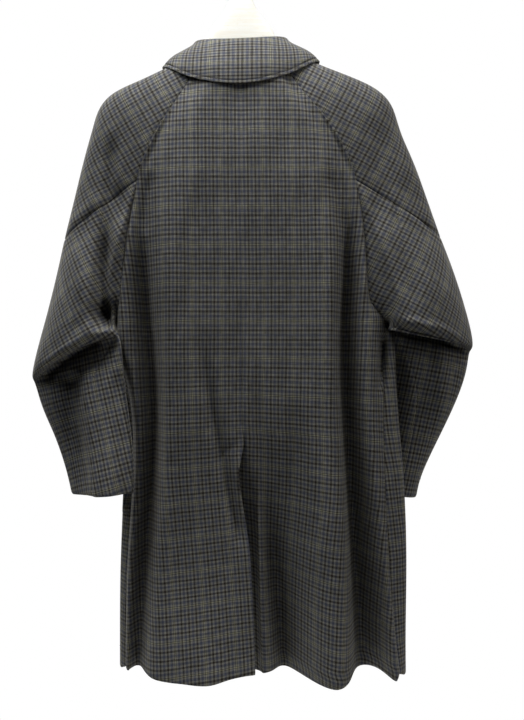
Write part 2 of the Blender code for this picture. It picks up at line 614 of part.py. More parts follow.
def body_panels():
    """Grids of the four body panels, from the centre of each to its outer edge."""
    right_back = (RAGLAN_RIGHT, ARMHOLE_RIGHT, SIDE_RIGHT)
    left_back = (RAGLAN_LEFT, ARMHOLE_LEFT, SIDE_LEFT)
    right_front = (FRONT_RAGLAN_RIGHT, FRONT_ARMHOLE_RIGHT, SIDE_RIGHT)
    left_front = (FRONT_RAGLAN_LEFT, FRONT_ARMHOLE_LEFT, SIDE_LEFT)
    top = FRONT_RAGLAN_RIGHT[0].drop - LEVELS.neck
    return {
        "back_right": panel(BACK_RIGHT_FOLDS, BACK_NECK, BACK_RIGHT_COLUMNS, right_back,
                            shape_lines=open_vent_right),
        "back_left": panel(BACK_LEFT_FOLDS, BACK_NECK, BACK_LEFT_COLUMNS, left_back,
                           shape_lines=open_vent_left),
        "front_right": panel(FRONT_RIGHT_FOLDS, FRONT_RIGHT_NECK, FRONT_RIGHT_COLUMNS, right_front,
                             top, 1.0),
        "front_left": panel(FRONT_LEFT_FOLDS, FRONT_LEFT_NECK, FRONT_LEFT_COLUMNS, left_front,
                            top, 1.0),
    }


def arm_grids(back, front, overarm, rings, trough):
    """Grids of one shoulder piece and its whole lower sleeve.

    back and front are the outer edges of the body panels, row by row.
    """
    raglan = slice(0, RAGLAN_ROWS + 1)
    armhole = slice(RAGLAN_ROWS, RAGLAN_ROWS + ARMHOLE_ROWS + 1)
    ridge = edge_stations(overarm, RAGLAN_ROWS + 1)
    shoulder = yoke(back[raglan], ridge, front[raglan], YOKE_LIFT)
    cross_seam = shoulder[-1]
    loop = np.concatenate((
        cross_seam[:BICEP_COLUMNS + 1][::-1],
        back[armhole][1:],
        front[armhole][::-1][1:],
        cross_seam[BICEP_COLUMNS:][::-1][1:],
    ))
    return shoulder, sleeve(loop, rings, trough)


def sew_arm(panels, side, shoulder, whole):
    """Sews a shoulder piece and a sleeve to the body, and cuts the sleeve in two."""
    back = panels[f"back_{side}"]
    front = panels[f"front_{side}"]
    under = whole[:, SEAM_COLUMN:whole.shape[1] - SEAM_COLUMN].copy()
    outer = np.concatenate((whole[:, -1 - SEAM_COLUMN:-1], whole[:, :SEAM_COLUMN + 1]), axis=1)
    raglan = slice(0, RAGLAN_ROWS + 1)
    armhole = slice(RAGLAN_ROWS, RAGLAN_ROWS + ARMHOLE_ROWS + 1)
    below = slice(RAGLAN_ROWS + ARMHOLE_ROWS, None)
    foot = BICEP_COLUMNS - SEAM_COLUMN
    deep = foot + ARMHOLE_ROWS
    edges = {}

    # The body's outer edges meet the shoulder piece, then the sleeve, then one another.
    for panel_grid, beside, armhole_beside, other in (
        (back, shoulder[:, 1], under[1, foot:deep + 1], front),
        (front, shoulder[:, -2], under[1, deep:deep + ARMHOLE_ROWS + 1][::-1], back),
    ):
        edge = panel_grid[:, -1]
        near = panel_grid[:, -2]
        moved = edge.copy()
        for rows, across in ((raglan, beside), (armhole, armhole_beside), (below, other[below, -2])):
            moved[rows] += drawn_in(edge[rows], near[rows], across) - edge[rows]
        edges[id(panel_grid)] = moved

    # The shoulder piece.
    sewn = shoulder.copy()
    bicep = whole[1]
    to_back = bicep[:BICEP_COLUMNS + 1][::-1]
    to_front = bicep[-1 - BICEP_COLUMNS:][::-1]
    sewn[-1] = drawn_in(shoulder[-1], shoulder[-2], np.concatenate((to_back, to_front[1:])))
    sewn[:, 0] += drawn_in(shoulder[:, 0], shoulder[:, 1], back[raglan, -2]) - shoulder[:, 0]
    sewn[:, -1] += drawn_in(shoulder[:, -1], shoulder[:, -2], front[raglan, -2]) - shoulder[:, -1]

    # The sleeve's top, round its loop.
    near_body = np.concatenate((
        shoulder[-2, :BICEP_COLUMNS + 1][::-1],
        back[armhole, -2][1:],
        front[armhole, -2][::-1][1:],
        shoulder[-2, BICEP_COLUMNS:][::-1][1:],
    ))
    top = drawn_in(whole[0], whole[1], near_body)
    under[0] = top[SEAM_COLUMN:len(top) - SEAM_COLUMN]
    outer[0] = np.concatenate((top[-1 - SEAM_COLUMN:-1], top[:SEAM_COLUMN + 1]))

    # The sleeve's own two seams.
    sew(under, FIRST_COLUMNS, outer, LAST_COLUMNS)
    sew(under, LAST_COLUMNS, outer, FIRST_COLUMNS)

    back[:, -1] = edges[id(back)]
    front[:, -1] = edges[id(front)]
    return sewn, under, outer


def build_cloth(wool):
    """Every cloth piece."""
    panels = body_panels()
    arms = {
        "right": arm_grids(panels["back_right"][:, -1], panels["front_right"][:, -1],
                           OVERARM_RIGHT, SLEEVE_RIGHT, TROUGH_RIGHT),
        "left": arm_grids(panels["back_left"][:, -1], panels["front_left"][:, -1],
                          OVERARM_LEFT, SLEEVE_LEFT, TROUGH_LEFT),
    }
    for side, (shoulder, whole) in arms.items():
        sewn, under, outer = sew_arm(panels, side, shoulder, whole)
        cloth(f"yoke_{side}", sewn, wool)
        cloth(f"under_sleeve_{side}", under, wool)
        cloth(f"top_sleeve_{side}", outer, wool)
    sew(panels["back_right"], FIRST_COLUMNS, panels["back_left"], FIRST_COLUMNS)
    for name, grid in panels.items():
        cloth(name, grid, wool)
    cloth("collar", collar_points(), wool, COLLAR_WALL)


def build():
    """Every piece of the coat and its hanger."""
    for old in list(bpy.data.objects):
        bpy.data.objects.remove(old)
    wool = material("checked wool", (0.062, 0.060, 0.055), 0.92)
    wood = material("pale wood", (0.80, 0.74, 0.62), 0.45)
    steel = material("bright steel", (0.72, 0.72, 0.70), 0.22, 1.0)
    build_cloth(wool)
    lofted("hanger", hanger_loops(), wood)
    lofted("hook", hook_loops(), steel)


build()
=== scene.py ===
"""Dresses a raglan coat on its hanger, its back towards -Y.

Checked wool panels get seams, turned hems, creases and stitches, and the hanger its wood
and steel. Lengths are in metres, in the tables of rows in millimetres, +Z is up, and the
origin is the inside of the hook's top. Heights are written as drops below the hook, and
places across as x from the coat's own middle, which hangs a little to the right of it.
"""

import logging
import math
from dataclasses import dataclass, field
from enum import Enum
from typing import Iterable, NamedTuple, Sequence

import bpy
import numpy as np
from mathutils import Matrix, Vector


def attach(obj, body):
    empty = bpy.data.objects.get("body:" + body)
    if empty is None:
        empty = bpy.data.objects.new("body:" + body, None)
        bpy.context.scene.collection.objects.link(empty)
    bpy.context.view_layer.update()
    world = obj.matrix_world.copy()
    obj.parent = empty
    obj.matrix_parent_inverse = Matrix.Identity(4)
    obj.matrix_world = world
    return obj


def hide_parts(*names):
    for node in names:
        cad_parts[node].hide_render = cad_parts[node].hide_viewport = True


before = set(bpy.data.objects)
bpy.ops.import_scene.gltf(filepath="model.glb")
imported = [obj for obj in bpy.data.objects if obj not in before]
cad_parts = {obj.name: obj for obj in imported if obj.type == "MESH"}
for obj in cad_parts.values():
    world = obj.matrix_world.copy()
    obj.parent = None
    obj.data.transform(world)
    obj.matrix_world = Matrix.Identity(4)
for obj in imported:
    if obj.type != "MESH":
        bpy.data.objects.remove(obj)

LOG = logging.getLogger("coat")
Array = np.ndarray
Plan = tuple[float, float]
Point = tuple[float, float, float]
Colour = tuple[float, float, float, float]
Material = bpy.types.Material
Tree = bpy.types.NodeTree
Socket = bpy.types.NodeSocket
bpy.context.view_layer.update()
BODY = "root"
# Added to a length that something is divided by, in case it is nothing.
TINY = 1e-12
# The same for the distance between two stations of a line, and for a squared distance.
LEAST_STATION = 1e-9
NEAREST_SQUARE = 1e-6

# Every count of rows and columns is this many times the solid's own count.
REFINE = 6
# The coat hangs this far to the right of the hook.
COAT_SHIFT = 0.0095
# Channels of a cloth grid: place (x, y, drop), cloth measures (across, along), outward way.
PLACE = slice(0, 3)
MEASURE = slice(3, 5)
OUTWARD = slice(5, 8)
OUTWARD_Y = 6


class Side(Enum):
    """A side of the coat, named for the wearer, with its direction along X."""

    LEFT = -1.0
    RIGHT = 1.0


class Face(Enum):
    """A face of the coat, with its direction along Y."""

    BACK = -1.0
    FRONT = 1.0


class Border(Enum):
    """One of the four borders of a grid."""

    FIRST_COLUMN = "first column"
    LAST_COLUMN = "last column"
    FIRST_ROW = "first row"
    LAST_ROW = "last row"


class Levels(NamedTuple):
    """The levels that folds are measured at, as drops below the hook."""

    neck: float
    blade: float
    underarm: float
    waist: float
    seat: float
    hem: float


class Fold(NamedTuple):
    """A fold line down a panel: (x, y) at each level from the blades, and its ends."""

    name: str
    top: float
    hem: float
    at_blade: Plan
    at_underarm: Plan
    at_waist: Plan
    at_seat: Plan
    at_hem: Plan

    def plans(self) -> tuple[Plan, ...]:
        """Its places from the blades down."""
        return self.at_blade, self.at_underarm, self.at_waist, self.at_seat, self.at_hem


class Edge(NamedTuple):
    """A place on an edge that two panels share."""

    drop: float
    x: float
    y: float


class Ring(NamedTuple):
    """A ring round a sleeve, from its outer to its inner side."""

    name: str
    outer_x: float
    outer_drop: float
    outer_y: float
    inner_x: float
    inner_drop: float
    inner_y: float
    back: float
    front: float
    back_low: float
    front_low: float
    seam: float


class Oval(NamedTuple):
    """One of the collar's ovals round the neck."""

    half_width: float
    back: float
    front: float
    drop_back: float
    drop_side: float
    drop_front: float


class Section(NamedTuple):
    """A section along one arm of the hanger."""

    x: float
    top: float
    under: float
    half: float


def metres(row: tuple) -> tuple:
    """Turns a row's millimetres into metres, within its own rows too, and leaves its words."""
    turned = (metres(part) if isinstance(part, tuple) else part for part in row)
    return tuple(part / 1000 if isinstance(part, (int, float)) else part for part in turned)


def table(kind: type, *rows: tuple, lengths: int | None = None) -> tuple:
    """Makes named rows in metres out of rows in millimetres, which end at `lengths` if it is given."""
    return tuple(kind(*metres(row[:lengths]), *(row[lengths:] if lengths else ())) for row in rows)


LEVELS = Levels(0.180, 0.362, 0.570, 0.752, 0.930, 1.100)
LEVEL_ROWS = tuple(REFINE * count for count in (8, 6, 5, 6, 5))
RAGLAN_ROWS = LEVEL_ROWS[0]
ARMHOLE_ROWS = LEVEL_ROWS[1]
RING_ROWS = tuple(REFINE * count for count in (4, 3, 3, 3, 3, 2, 1))
BICEP_COLUMNS = 8 * REFINE
SEAM_COLUMN = 6 * REFINE


def spline(points: Array, places: Array) -> Array:
    """Runs smooth lines through stations.

    Each column of points gets a natural cubic spline, whose parameter between two
    stations is the root of the distance between them.

    Args:
        points: Stations (station, column, number).
        places: Where to read the lines, in stations counted from 0.

    Returns:
        Points (place, column, number).
    """
    points = np.asarray(points, float)
    count, columns = points.shape[:2]
    step = np.sqrt(np.linalg.norm(np.diff(points, axis=0), axis=2)) + LEAST_STATION
    slope = np.diff(points, axis=0) / step[..., None]
    matrix = np.zeros((columns, count, count))
    right = np.zeros((columns, count, points.shape[2]))
    matrix[:, 0, 0] = 1
    matrix[:, -1, -1] = 1
    for i in range(1, count - 1):
        matrix[:, i, i - 1] = step[i - 1]
        matrix[:, i, i] = 2 * (step[i - 1] + step[i])
        matrix[:, i, i + 1] = step[i]
        right[:, i] = 6 * (slope[i] - slope[i - 1])
    bend = np.linalg.solve(matrix, right).transpose(1, 0, 2)
    low = np.clip(np.floor(places).astype(int), 0, count - 2)
    part = (places - low)[:, None, None]
    square = step[low][..., None] ** 2 / 6
    return (
        (1 - part) * points[low] + part * points[low + 1]
        + ((1 - part) ** 3 - (1 - part)) * square * bend[low]
        + (part ** 3 - part) * square * bend[low + 1]
    )


def spline_line(points: Sequence, places: Array) -> Array:
    """Runs one smooth line through points (station, number)."""
    return spline(np.asarray(points, float)[:, None, :], np.asarray(places, float))[:, 0, :]


def smooth_step(values: Array, start: float, end: float) -> Array:
    """Rises from 0 at start to 1 at end, level at both."""
    part = np.clip((np.asarray(values, float) - start) / (end - start), 0, 1)
    return part * part * (3 - 2 * part)


def stations(counts: Sequence[int]) -> Array:
    """Places from 0 to len(counts), with so many steps between one whole number and the next."""
    steps = [np.arange(1, count + 1) / count + index for index, count in enumerate(counts)]
    return np.concatenate(([0.0], *steps))


def run(points: Array, axis: int) -> Array:
    """Distance along each line of a grid from its first point.

    Args:
        points: Points (row, column, xyz).
        axis: 0 to run down the columns, 1 to run along the rows.

    Returns:
        Distances (row, column).
    """
    step = np.linalg.norm(np.diff(points, axis=axis), axis=2)
    start = np.zeros_like(np.take(step, [0], axis=axis))
    return np.concatenate((start, np.cumsum(step, axis=axis)), axis=axis)


def outward_ways(points: Array, turn: float) -> Array:
    """Unit normals of a grid: its down way crossed with its across way, times turn."""
    way = np.cross(np.gradient(points, axis=0), np.gradient(points, axis=1)) * turn
    return way / (np.linalg.norm(way, axis=2, keepdims=True) + TINY)


ROW_PLACES = stations(LEVEL_ROWS)
ROW_DROPS = spline_line(np.array(LEVELS)[:, None], ROW_PLACES)[:, 0]
# Places that an edge's smooth line is read at, for each row of its table.
EDGE_STEPS = 40
# Edges that follow one another meet within this.
EDGE_MEETS = 1e-6


def edge_at(edges: Sequence[Edge], drops: Array) -> Array:
    """Points (x, y, drop) of a smooth edge at the given drops."""
    x, y, drop = edge_stations(edges, EDGE_STEPS * len(edges)).T
    return np.stack((np.interp(drops, drop, x), np.interp(drops, drop, y), drops), axis=1)


def edge_stations(edges: Sequence[Edge], count: int) -> Array:
    """Points (x, y, drop) of a smooth edge, evenly numbered along its table."""
    drop, x, y = spline_line(edges, np.linspace(0, len(edges) - 1, count)).T
    return np.stack((x, y, drop), axis=1)


def joined_edge(parts: Iterable[Sequence[Edge]], drops: Array) -> Array:
    """Points of edges that follow one another down a panel.

    Args:
        parts: The edges from the neck down.
        drops: The rows' drops.

    Returns:
        Points (row, xyz), with the drop third.
    """
    points = np.zeros((len(drops), 3))
    for edges in parts:
        inside = (drops >= edges[0].drop - EDGE_MEETS) & (drops <= edges[-1].drop + EDGE_MEETS)
        points[inside] = edge_at(edges, drops[inside])
    return points


def lowered(drops: Array, top: float, hem: float) -> Array:
    """Lowers a line's two ends by shares that fall off as squares over two levels.

    Args:
        drops: The rows' drops.
        top: How much lower the line starts than the levels.
        hem: How much lower it ends.

    Returns:
        The line's own drops.
    """
    from_top = np.clip(1 - ROW_PLACES / 2, 0, 1) ** 2
    to_hem = np.clip(1 - (len(LEVEL_ROWS) - ROW_PLACES) / 2, 0, 1) ** 2
    return drops + top * from_top + hem * to_hem


def linear(code: str) -> Colour:
    """Turns an sRGB hex code into a linear colour by the sRGB standard's curve.

    Args:
        code: A hash and six hex digits.

    Returns:
        Red, green, blue and an alpha of 1.
    """
    part = np.array([int(code[i:i + 2], 16) / 255 for i in (1, 3, 5)])
    value = np.where(part <= 0.04045, part / 12.92, ((part + 0.055) / 1.055) ** 2.4)
    return (*map(float, value), 1.0)


def set_inputs(tree: Tree, node: bpy.types.Node, inputs: dict) -> None:
    """Sets or links a node's inputs.

    Args:
        tree: The node's tree.
        node: The node.
        inputs: Values, or sockets to link from, by input name or number.
    """
    for key, value in inputs.items():
        if isinstance(value, Socket):
            tree.links.new(value, node.inputs[key])
        else:
            node.inputs[key].default_value = value


def add_node(
    tree: Tree,
    kind: str,
    settings: dict | None = None,
    inputs: dict | None = None,
    stops: Sequence[tuple] = (),
) -> bpy.types.Node:
    """Adds a shader node with its settings, links and colour stops.

    Args:
        tree: The material's or world's node tree.
        kind: The node's type, without the words that all shader nodes start with.
        settings: Properties of the node by name.
        inputs: Values, or sockets to link from, by input name or number.
        stops: For a ramp: place and colour of each stop.

    Returns:
        The new node.
    """
    node = tree.nodes.new("ShaderNode" + kind)
    for name, value in (settings or {}).items():
        setattr(node, name, value)
    set_inputs(tree, node, inputs or {})
    for index, (place, colour) in enumerate(stops):
        elements = node.color_ramp.elements
        element = elements[index] if index < 2 else elements.new(place)
        element.position = place
        element.color = colour
    return node


def start_material(name: str) -> tuple[Material, Tree, bpy.types.Node]:
    """Starts a node material.

    Args:
        name: The material's name.

    Returns:
        The material, its tree and its Principled shader.
    """
    material = bpy.data.materials.new(name)
    material.use_nodes = True
    tree = material.node_tree
    return material, tree, tree.nodes["Principled BSDF"]


def drawn_noise(
    tree: Tree, place: Socket, sizes: Point, inputs: dict, settings: dict | None = None,
) -> Socket:
    """A noise that is drawn out to its own size along each axis.

    Args:
        tree: The material's node tree.
        place: The coordinates.
        sizes: The noise's size along X, Y and Z.
        inputs: The noise's other inputs.
        settings: The noise's settings.

    Returns:
        The noise's socket.
    """
    scale = tuple(1 / size for size in sizes)
    drawn = add_node(tree, "Mapping", None, {"Vector": place, "Scale": scale}).outputs[0]
    return add_node(tree, "TexNoise", settings, {"Vector": drawn, "Scale": 1.0, **inputs}).outputs[0]


# Most of a noise lies between these.
NOISE_LOW, NOISE_HIGH = 0.3, 0.7
# Settings of the nodes that the finishes use often.
ADD = {"operation": "ADD"}
MULTIPLY = {"operation": "MULTIPLY"}
FRACTION = {"operation": "FRACT"}
COLOUR_MIX = {"data_type": "RGBA"}
COLOUR_TIMES = {"data_type": "RGBA", "blend_type": "MULTIPLY"}
COLOUR_OVER = {"data_type": "RGBA", "blend_type": "DIVIDE"}
FLAT_NOISE = {"noise_dimensions": "2D"}
# One pitch of the check: a dark line at its middle and half a blue line at each end.
LINE_CHART = (
    (0.0, "blue"), (0.11, "blue"), (0.18, "ground"), (0.35, "ground"), (0.41, "dark"),
    (0.59, "dark"), (0.65, "ground"), (0.82, "ground"), (0.89, "blue"), (1.0, "blue"),
)
# Four pitches of it: the fourth line has a pale thread between two dark ones.
PALE_CHART = (
    (0.0, "clear"), (0.825, "clear"), (0.840, "ground"), (0.852, "dark"),
    (0.862, "dark"), (0.867, "pale"), (0.883, "pale"), (0.888, "dark"),
    (0.898, "dark"), (0.910, "ground"), (0.925, "clear"), (1.0, "clear"),
)
PALE_EVERY = 4


@dataclass(frozen=True)
class CheckedWool:
    """Worsted wool in a small four-line check, woven in a 2/2 twill.

    The eye gets a dull olive-grey cloth with brown-black lines, softer blue lines midway
    between them and a fine pale thread in place of every fourth dark line, both ways.
    The twill is drawn three times as coarse as it is, so that it shows.

    Attributes:
        rib_shares: The weft's least and greatest share across a rib of the twill.
        cover: The share of the lines that show through whole, over the ribs.
        yarn_tones: The darkest and lightest tone of uneven yarn.
        wear_tones: The darkest and lightest tone of worn places.
        rib_height: The ribs' height over that of the uneven yarn.
    """

    warp_pitch: float = 0.0110
    weft_pitch: float = 0.0144
    twill_pitch: float = 0.0026
    slub_width: float = 0.0017
    slub_length: float = 0.018
    wear_size: float = 1 / 9
    ground: str = "#807f77"
    dark: str = "#37312c"
    blue: str = "#4f525f"
    pale: str = "#a3a187"
    sheen_tint: str = "#b9b4a8"
    rib_shares: Plan = (0.32, 0.68)
    cover: float = 0.32
    yarn_tones: Plan = (0.62, 1.38)
    wear_tones: Plan = (0.93, 1.07)
    rib_height: float = 0.35
    relief: float = 0.0005

    def stripes(self, tree: Tree, measure: Socket, pitch: float) -> Socket:
        """Colours of the threads that run one way.

        One ramp draws a pitch of the chart, and another lays the pale threads over it.

        Args:
            tree: The material's node tree.
            measure: The cloth measure across the threads, in metres.
            pitch: The distance from one line to the next.

        Returns:
            The colour socket.
        """
        ground = linear(self.ground)
        colours = {
            "ground": ground, "clear": (*ground[:3], 0.0), "dark": linear(self.dark),
            "blue": linear(self.blue), "pale": linear(self.pale),
        }
        lines = add_node(tree, "Math", MULTIPLY, {0: measure, 1: 1 / pitch})
        one = add_node(tree, "Math", FRACTION, {0: lines.outputs[0]})
        quarter = add_node(tree, "Math", MULTIPLY, {0: lines.outputs[0], 1: 1 / PALE_EVERY})
        four = add_node(tree, "Math", FRACTION, {0: quarter.outputs[0]})
        ramps = []
        for place, chart in ((one, LINE_CHART), (four, PALE_CHART)):
            stops = [(at, colours[name]) for at, name in chart]
            ramps.append(add_node(tree, "ValToRGB", None, {0: place.outputs[0]}, stops))
        base, accent = ramps
        return add_node(tree, "Mix", COLOUR_MIX, {
            0: accent.outputs["Alpha"], 6: base.outputs["Color"], 7: accent.outputs["Color"],
        }).outputs[2]

    def yarn(self, tree: Tree, cloth: Socket) -> Socket:
        """Uneven yarn: the sum of two noises, each long along its own threads.

        Args:
            tree: The material's node tree.
            cloth: The cloth measures.

        Returns:
            The sum's socket.
        """
        wide, long = self.slub_width, self.slub_length
        look = {"Detail": 2.0, "Roughness": 0.6}
        warp = drawn_noise(tree, cloth, (wide, long, 1.0), look, FLAT_NOISE)
        weft = drawn_noise(tree, cloth, (long, wide, 1.0), look, FLAT_NOISE)
        return add_node(tree, "Math", ADD, {0: warp, 1: weft}).outputs[0]

    def material(self) -> Material:
        """Makes the cloth's material, laid out by the pieces' cloth measures.

        Returns:
            The material.
        """
        material, tree, shader = start_material("checked worsted wool")
        cloth = add_node(tree, "UVMap", {"uv_map": "cloth"}).outputs["UV"]
        parts = add_node(tree, "SeparateXYZ", None, {0: cloth})
        across, along = parts.outputs["X"], parts.outputs["Y"]
        warp = self.stripes(tree, across, self.warp_pitch)
        weft = self.stripes(tree, along, self.weft_pitch)

        # The twill's diagonal ribs show more warp on one flank and more weft on the other.
        slant = add_node(tree, "Math", ADD, {0: across, 1: along})
        ribs = add_node(tree, "Math", MULTIPLY, {0: slant.outputs[0], 1: 2 * math.pi / self.twill_pitch})
        wave = add_node(tree, "Math", {"operation": "SINE"}, {0: ribs.outputs[0]})
        share = add_node(tree, "MapRange", None, {
            0: wave.outputs[0], 1: -1.0, 2: 1.0, 3: self.rib_shares[0], 4: self.rib_shares[1],
        })
        ribbed = add_node(tree, "Mix", COLOUR_MIX, {0: share.outputs[0], 6: warp, 7: weft})

        # Lines of either way darken what they cross, as sharply as the eye sees them.
        crossed = add_node(tree, "Mix", COLOUR_TIMES, {0: 1.0, 6: warp, 7: weft})
        evened = add_node(tree, "Mix", COLOUR_OVER, {0: 1.0, 6: crossed.outputs[2], 7: linear(self.ground)})
        woven = add_node(tree, "Mix", COLOUR_MIX, {
            0: self.cover, 6: ribbed.outputs[2], 7: evened.outputs[2],
        })

        # Thick and thin yarn, and worn places, change the tone.
        yarn = self.yarn(tree, cloth)
        tone = add_node(tree, "MapRange", None, {
            0: yarn, 1: 2 * NOISE_LOW, 2: 2 * NOISE_HIGH, 3: self.yarn_tones[0], 4: self.yarn_tones[1],
        })
        wear = add_node(tree, "TexNoise", FLAT_NOISE, {
            "Vector": cloth, "Scale": 1 / self.wear_size, "Detail": 3.0,
        })
        worn = add_node(tree, "MapRange", None, {
            0: wear.outputs[0], 1: NOISE_LOW, 2: NOISE_HIGH, 3: self.wear_tones[0], 4: self.wear_tones[1],
        })
        both = add_node(tree, "Math", MULTIPLY, {0: tone.outputs[0], 1: worn.outputs[0]})
        colour = add_node(tree, "Mix", COLOUR_TIMES, {0: 1.0, 6: woven.outputs[2], 7: both.outputs[0]})

        height = add_node(tree, "Math", {"operation": "MULTIPLY_ADD"}, {
            0: wave.outputs[0], 1: self.rib_height, 2: yarn,
        })
        bump = add_node(tree, "Bump", None, {
            "Strength": 0.30, "Distance": self.relief, "Height": height.outputs[0],
        })
        set_inputs(tree, shader, {
            "Base Color": colour.outputs[2], "Normal": bump.outputs[0], "Roughness": 0.94,
            "Specular IOR Level": 0.15, "Sheen Weight": 0.22, "Sheen Roughness": 0.5,
            "Sheen Tint": linear(self.sheen_tint),
        })
        return material


@dataclass(frozen=True)
class SewingThread:
    """Dark twisted polyester thread: a low gloss and a fine slanted twist."""

    colour: str = "#2b2926"
    # The lighter colour below is a painted highlight on the twist's ridges, not a second colour of thread.
    light: str = "#45423c"
    twist_pitch: float = 0.0009
    relief: float = 0.0002

    def material(self) -> Material:
        """Makes the thread's material, with its twist as a bump and as a painted highlight on the twist's
        ridges.

        The wave texture turns by 20 radians in a unit of its scale.

        Returns:
            The material.
        """
        material, tree, shader = start_material("twisted polyester thread")
        place = add_node(tree, "TexCoord")
        twist = add_node(tree, "TexWave", {"bands_direction": "DIAGONAL"}, {
            "Vector": place.outputs["Object"], "Scale": 1 / (20 * self.twist_pitch) * 2 * math.pi,
        }).outputs["Fac"]
        # The twist's ridges take the lighter colour: a painted highlight along the twist, on top of its
        # bump.
        shade = add_node(tree, "Mix", COLOUR_MIX, {0: twist, 6: linear(self.colour), 7: linear(self.light)})
        bump = add_node(tree, "Bump", None, {"Strength": 0.3, "Distance": self.relief, "Height": twist})
        set_inputs(tree, shader, {
            "Base Color": shade.outputs[2], "Normal": bump.outputs[0], "Roughness": 0.55,
        })
        return material


@dataclass(frozen=True)
class PaleWood:
    """Bleached beech under satin lacquer: cream, with faint long grain and small flecks."""

    light: str = "#fdfcf5"
    grain: str = "#f8f3e4"
    grain_width: float = 0.004
    grain_length: float = 0.090
    fleck: float = 0.0012
    fleck_length: float = 6.0
    relief: float = 0.0004

    def material(self) -> Material:
        """Makes the wood's material, with its grain along the hanger.

        Returns:
            The material.
        """
        material, tree, shader = start_material("lacquered beech")
        place = add_node(tree, "TexCoord").outputs["Object"]
        sizes = (self.grain_length, self.grain_width, self.grain_width)
        grain = drawn_noise(tree, place, sizes, {"Detail": 4.0, "Distortion": 0.4})
        sizes = (self.fleck_length * self.fleck, self.fleck, self.fleck)
        fleck = drawn_noise(tree, place, sizes, {"Detail": 1.0})
        specks = add_node(tree, "MapRange", None, {0: fleck, 1: 0.62, 2: 0.72, 3: 0.0, 4: 0.35})
        tone = add_node(tree, "Math", ADD, {0: grain, 1: specks.outputs[0]})
        shade = add_node(tree, "ValToRGB", None, {0: tone.outputs[0]}, (
            (0.35, linear(self.light)), (0.80, linear(self.grain)),
        ))
        bump = add_node(tree, "Bump", None, {"Strength": 0.08, "Distance": self.relief, "Height": grain})
        set_inputs(tree, shader, {
            "Base Color": shade.outputs[0], "Normal": bump.outputs[0], "Roughness": 0.38,
            "Coat Weight": 0.25, "Coat Roughness": 0.2,
        })
        return material


@dataclass(frozen=True)
class BrightSteel:
    """Drawn and plated steel wire: a bright grey with faint lengthwise drawing marks."""

    colour: str = "#d2d2cf"
    mark: float = 0.0006
    mark_length: float = 12.0
    gloss: Plan = (0.14, 0.30)

    def material(self) -> Material:
        """Makes the wire's material, with drawing marks in its roughness.

        Returns:
            The material.
        """
        material, tree, shader = start_material("plated steel wire")
        place = add_node(tree, "TexCoord").outputs["Object"]
        sizes = (self.mark, self.mark, self.mark_length * self.mark)
        marks = drawn_noise(tree, place, sizes, {"Detail": 3.0})
        dull = add_node(tree, "MapRange", None, {
            0: marks, 1: NOISE_LOW, 2: NOISE_HIGH, 3: self.gloss[0], 4: self.gloss[1],
        })
        set_inputs(tree, shader, {
            "Roughness": dull.outputs[0], "Base Color": linear(self.colour), "Metallic": 1.0,
        })
        return material


@dataclass(frozen=True)
class StudioWhite:
    """Matt white board for the floor."""

    colour: str = "#f2f2f0"
    mottle: str = "#eeeeec"
    mottle_size: float = 0.25

    def material(self) -> Material:
        """Makes the board's material, with a faint mottle.

        Returns:
            The material.
        """
        material, tree, shader = start_material("matt white board")
        place = add_node(tree, "TexCoord")
        mottle = add_node(tree, "TexNoise", None, {
            "Vector": place.outputs["Object"], "Scale": 1 / self.mottle_size,
        })
        shade = add_node(tree, "Mix", COLOUR_MIX, {
            0: mottle.outputs[0], 6: linear(self.colour), 7: linear(self.mottle),
        })
        set_inputs(tree, shader, {"Base Color": shade.outputs[2], "Roughness": 0.9})
        return material


def mesh_object(
    name: str,
    points: Array,
    faces: list,
    material: Material,
    measures: Array | None = None,
) -> bpy.types.Object:
    """Makes a smooth-shaded object.

    Args:
        name: The object's name.
        points: Points (point, xyz).
        faces: Point numbers of each face.
        material: Its finish.
        measures: Cloth measures (point, 2), which become the UV map named cloth.

    Returns:
        The new object, at the origin.
    """
    mesh = bpy.data.meshes.new(name)
    mesh.from_pydata(points.tolist(), [], faces)
    mesh.shade_smooth()
    if measures is not None:
        corner = np.zeros(len(mesh.loops), dtype=np.int32)
        mesh.loops.foreach_get("vertex_index", corner)
        layer = mesh.uv_layers.new(name="cloth")
        layer.data.foreach_set("uv", measures[corner].astype(np.float32).ravel())
    mesh.materials.append(material)
    made = bpy.data.objects.new(name, mesh)
    bpy.context.scene.collection.objects.link(made)
    return made


def grid_faces(rows: int, columns: int, around: bool = False) -> list:
    """Quads of a grid of points: each point with its neighbours below and beside it.

    Args:
        rows: Rows of points.
        columns: Columns of points.
        around: Whether the last column joins the first.

    Returns:
        Four point numbers for each quad.
    """
    corner = np.arange(rows * columns).reshape(rows, columns)
    if around:
        corner = np.concatenate((corner, corner[:, :1]), axis=1)
    quads = np.stack((corner[:-1, :-1], corner[1:, :-1], corner[1:, 1:], corner[:-1, 1:]), axis=-1)
    return quads.reshape(-1, 4).tolist()


def closed_tube(name: str, loops: Array, material: Material) -> bpy.types.Object:
    """Makes a tube of loops, closed round and with a face over each end.

    Args:
        name: The object's name.
        loops: Points (loop, point, xyz), which turn inwards in their order.
        material: Its finish.

    Returns:
        The new object.
    """
    count, sides = loops.shape[:2]
    faces = grid_faces(count, sides, around=True)
    last = count * sides
    faces += [list(range(sides))[::-1], list(range(last - sides, last))]
    made = mesh_object(name, loops.reshape(-1, 3), [face[::-1] for face in faces], material)
    LOG.info("%s: %d faces", name, len(faces))
    return made


def dome(start: float, steps: int, least: float) -> tuple[Array, Array]:
    """Places and sizes of a dome's loops: a size is the root of one minus the place's square."""
    place = np.linspace(start, 1.0, steps)
    return place, np.maximum(np.sqrt(1 - place ** 2), least)


def in_frame(points: Array) -> Array:
    """Frame points from (x, y, drop), with the coat's shift from the hook."""
    return np.stack((points[..., 0] + COAT_SHIFT, points[..., 1], -points[..., 2]), axis=-1)


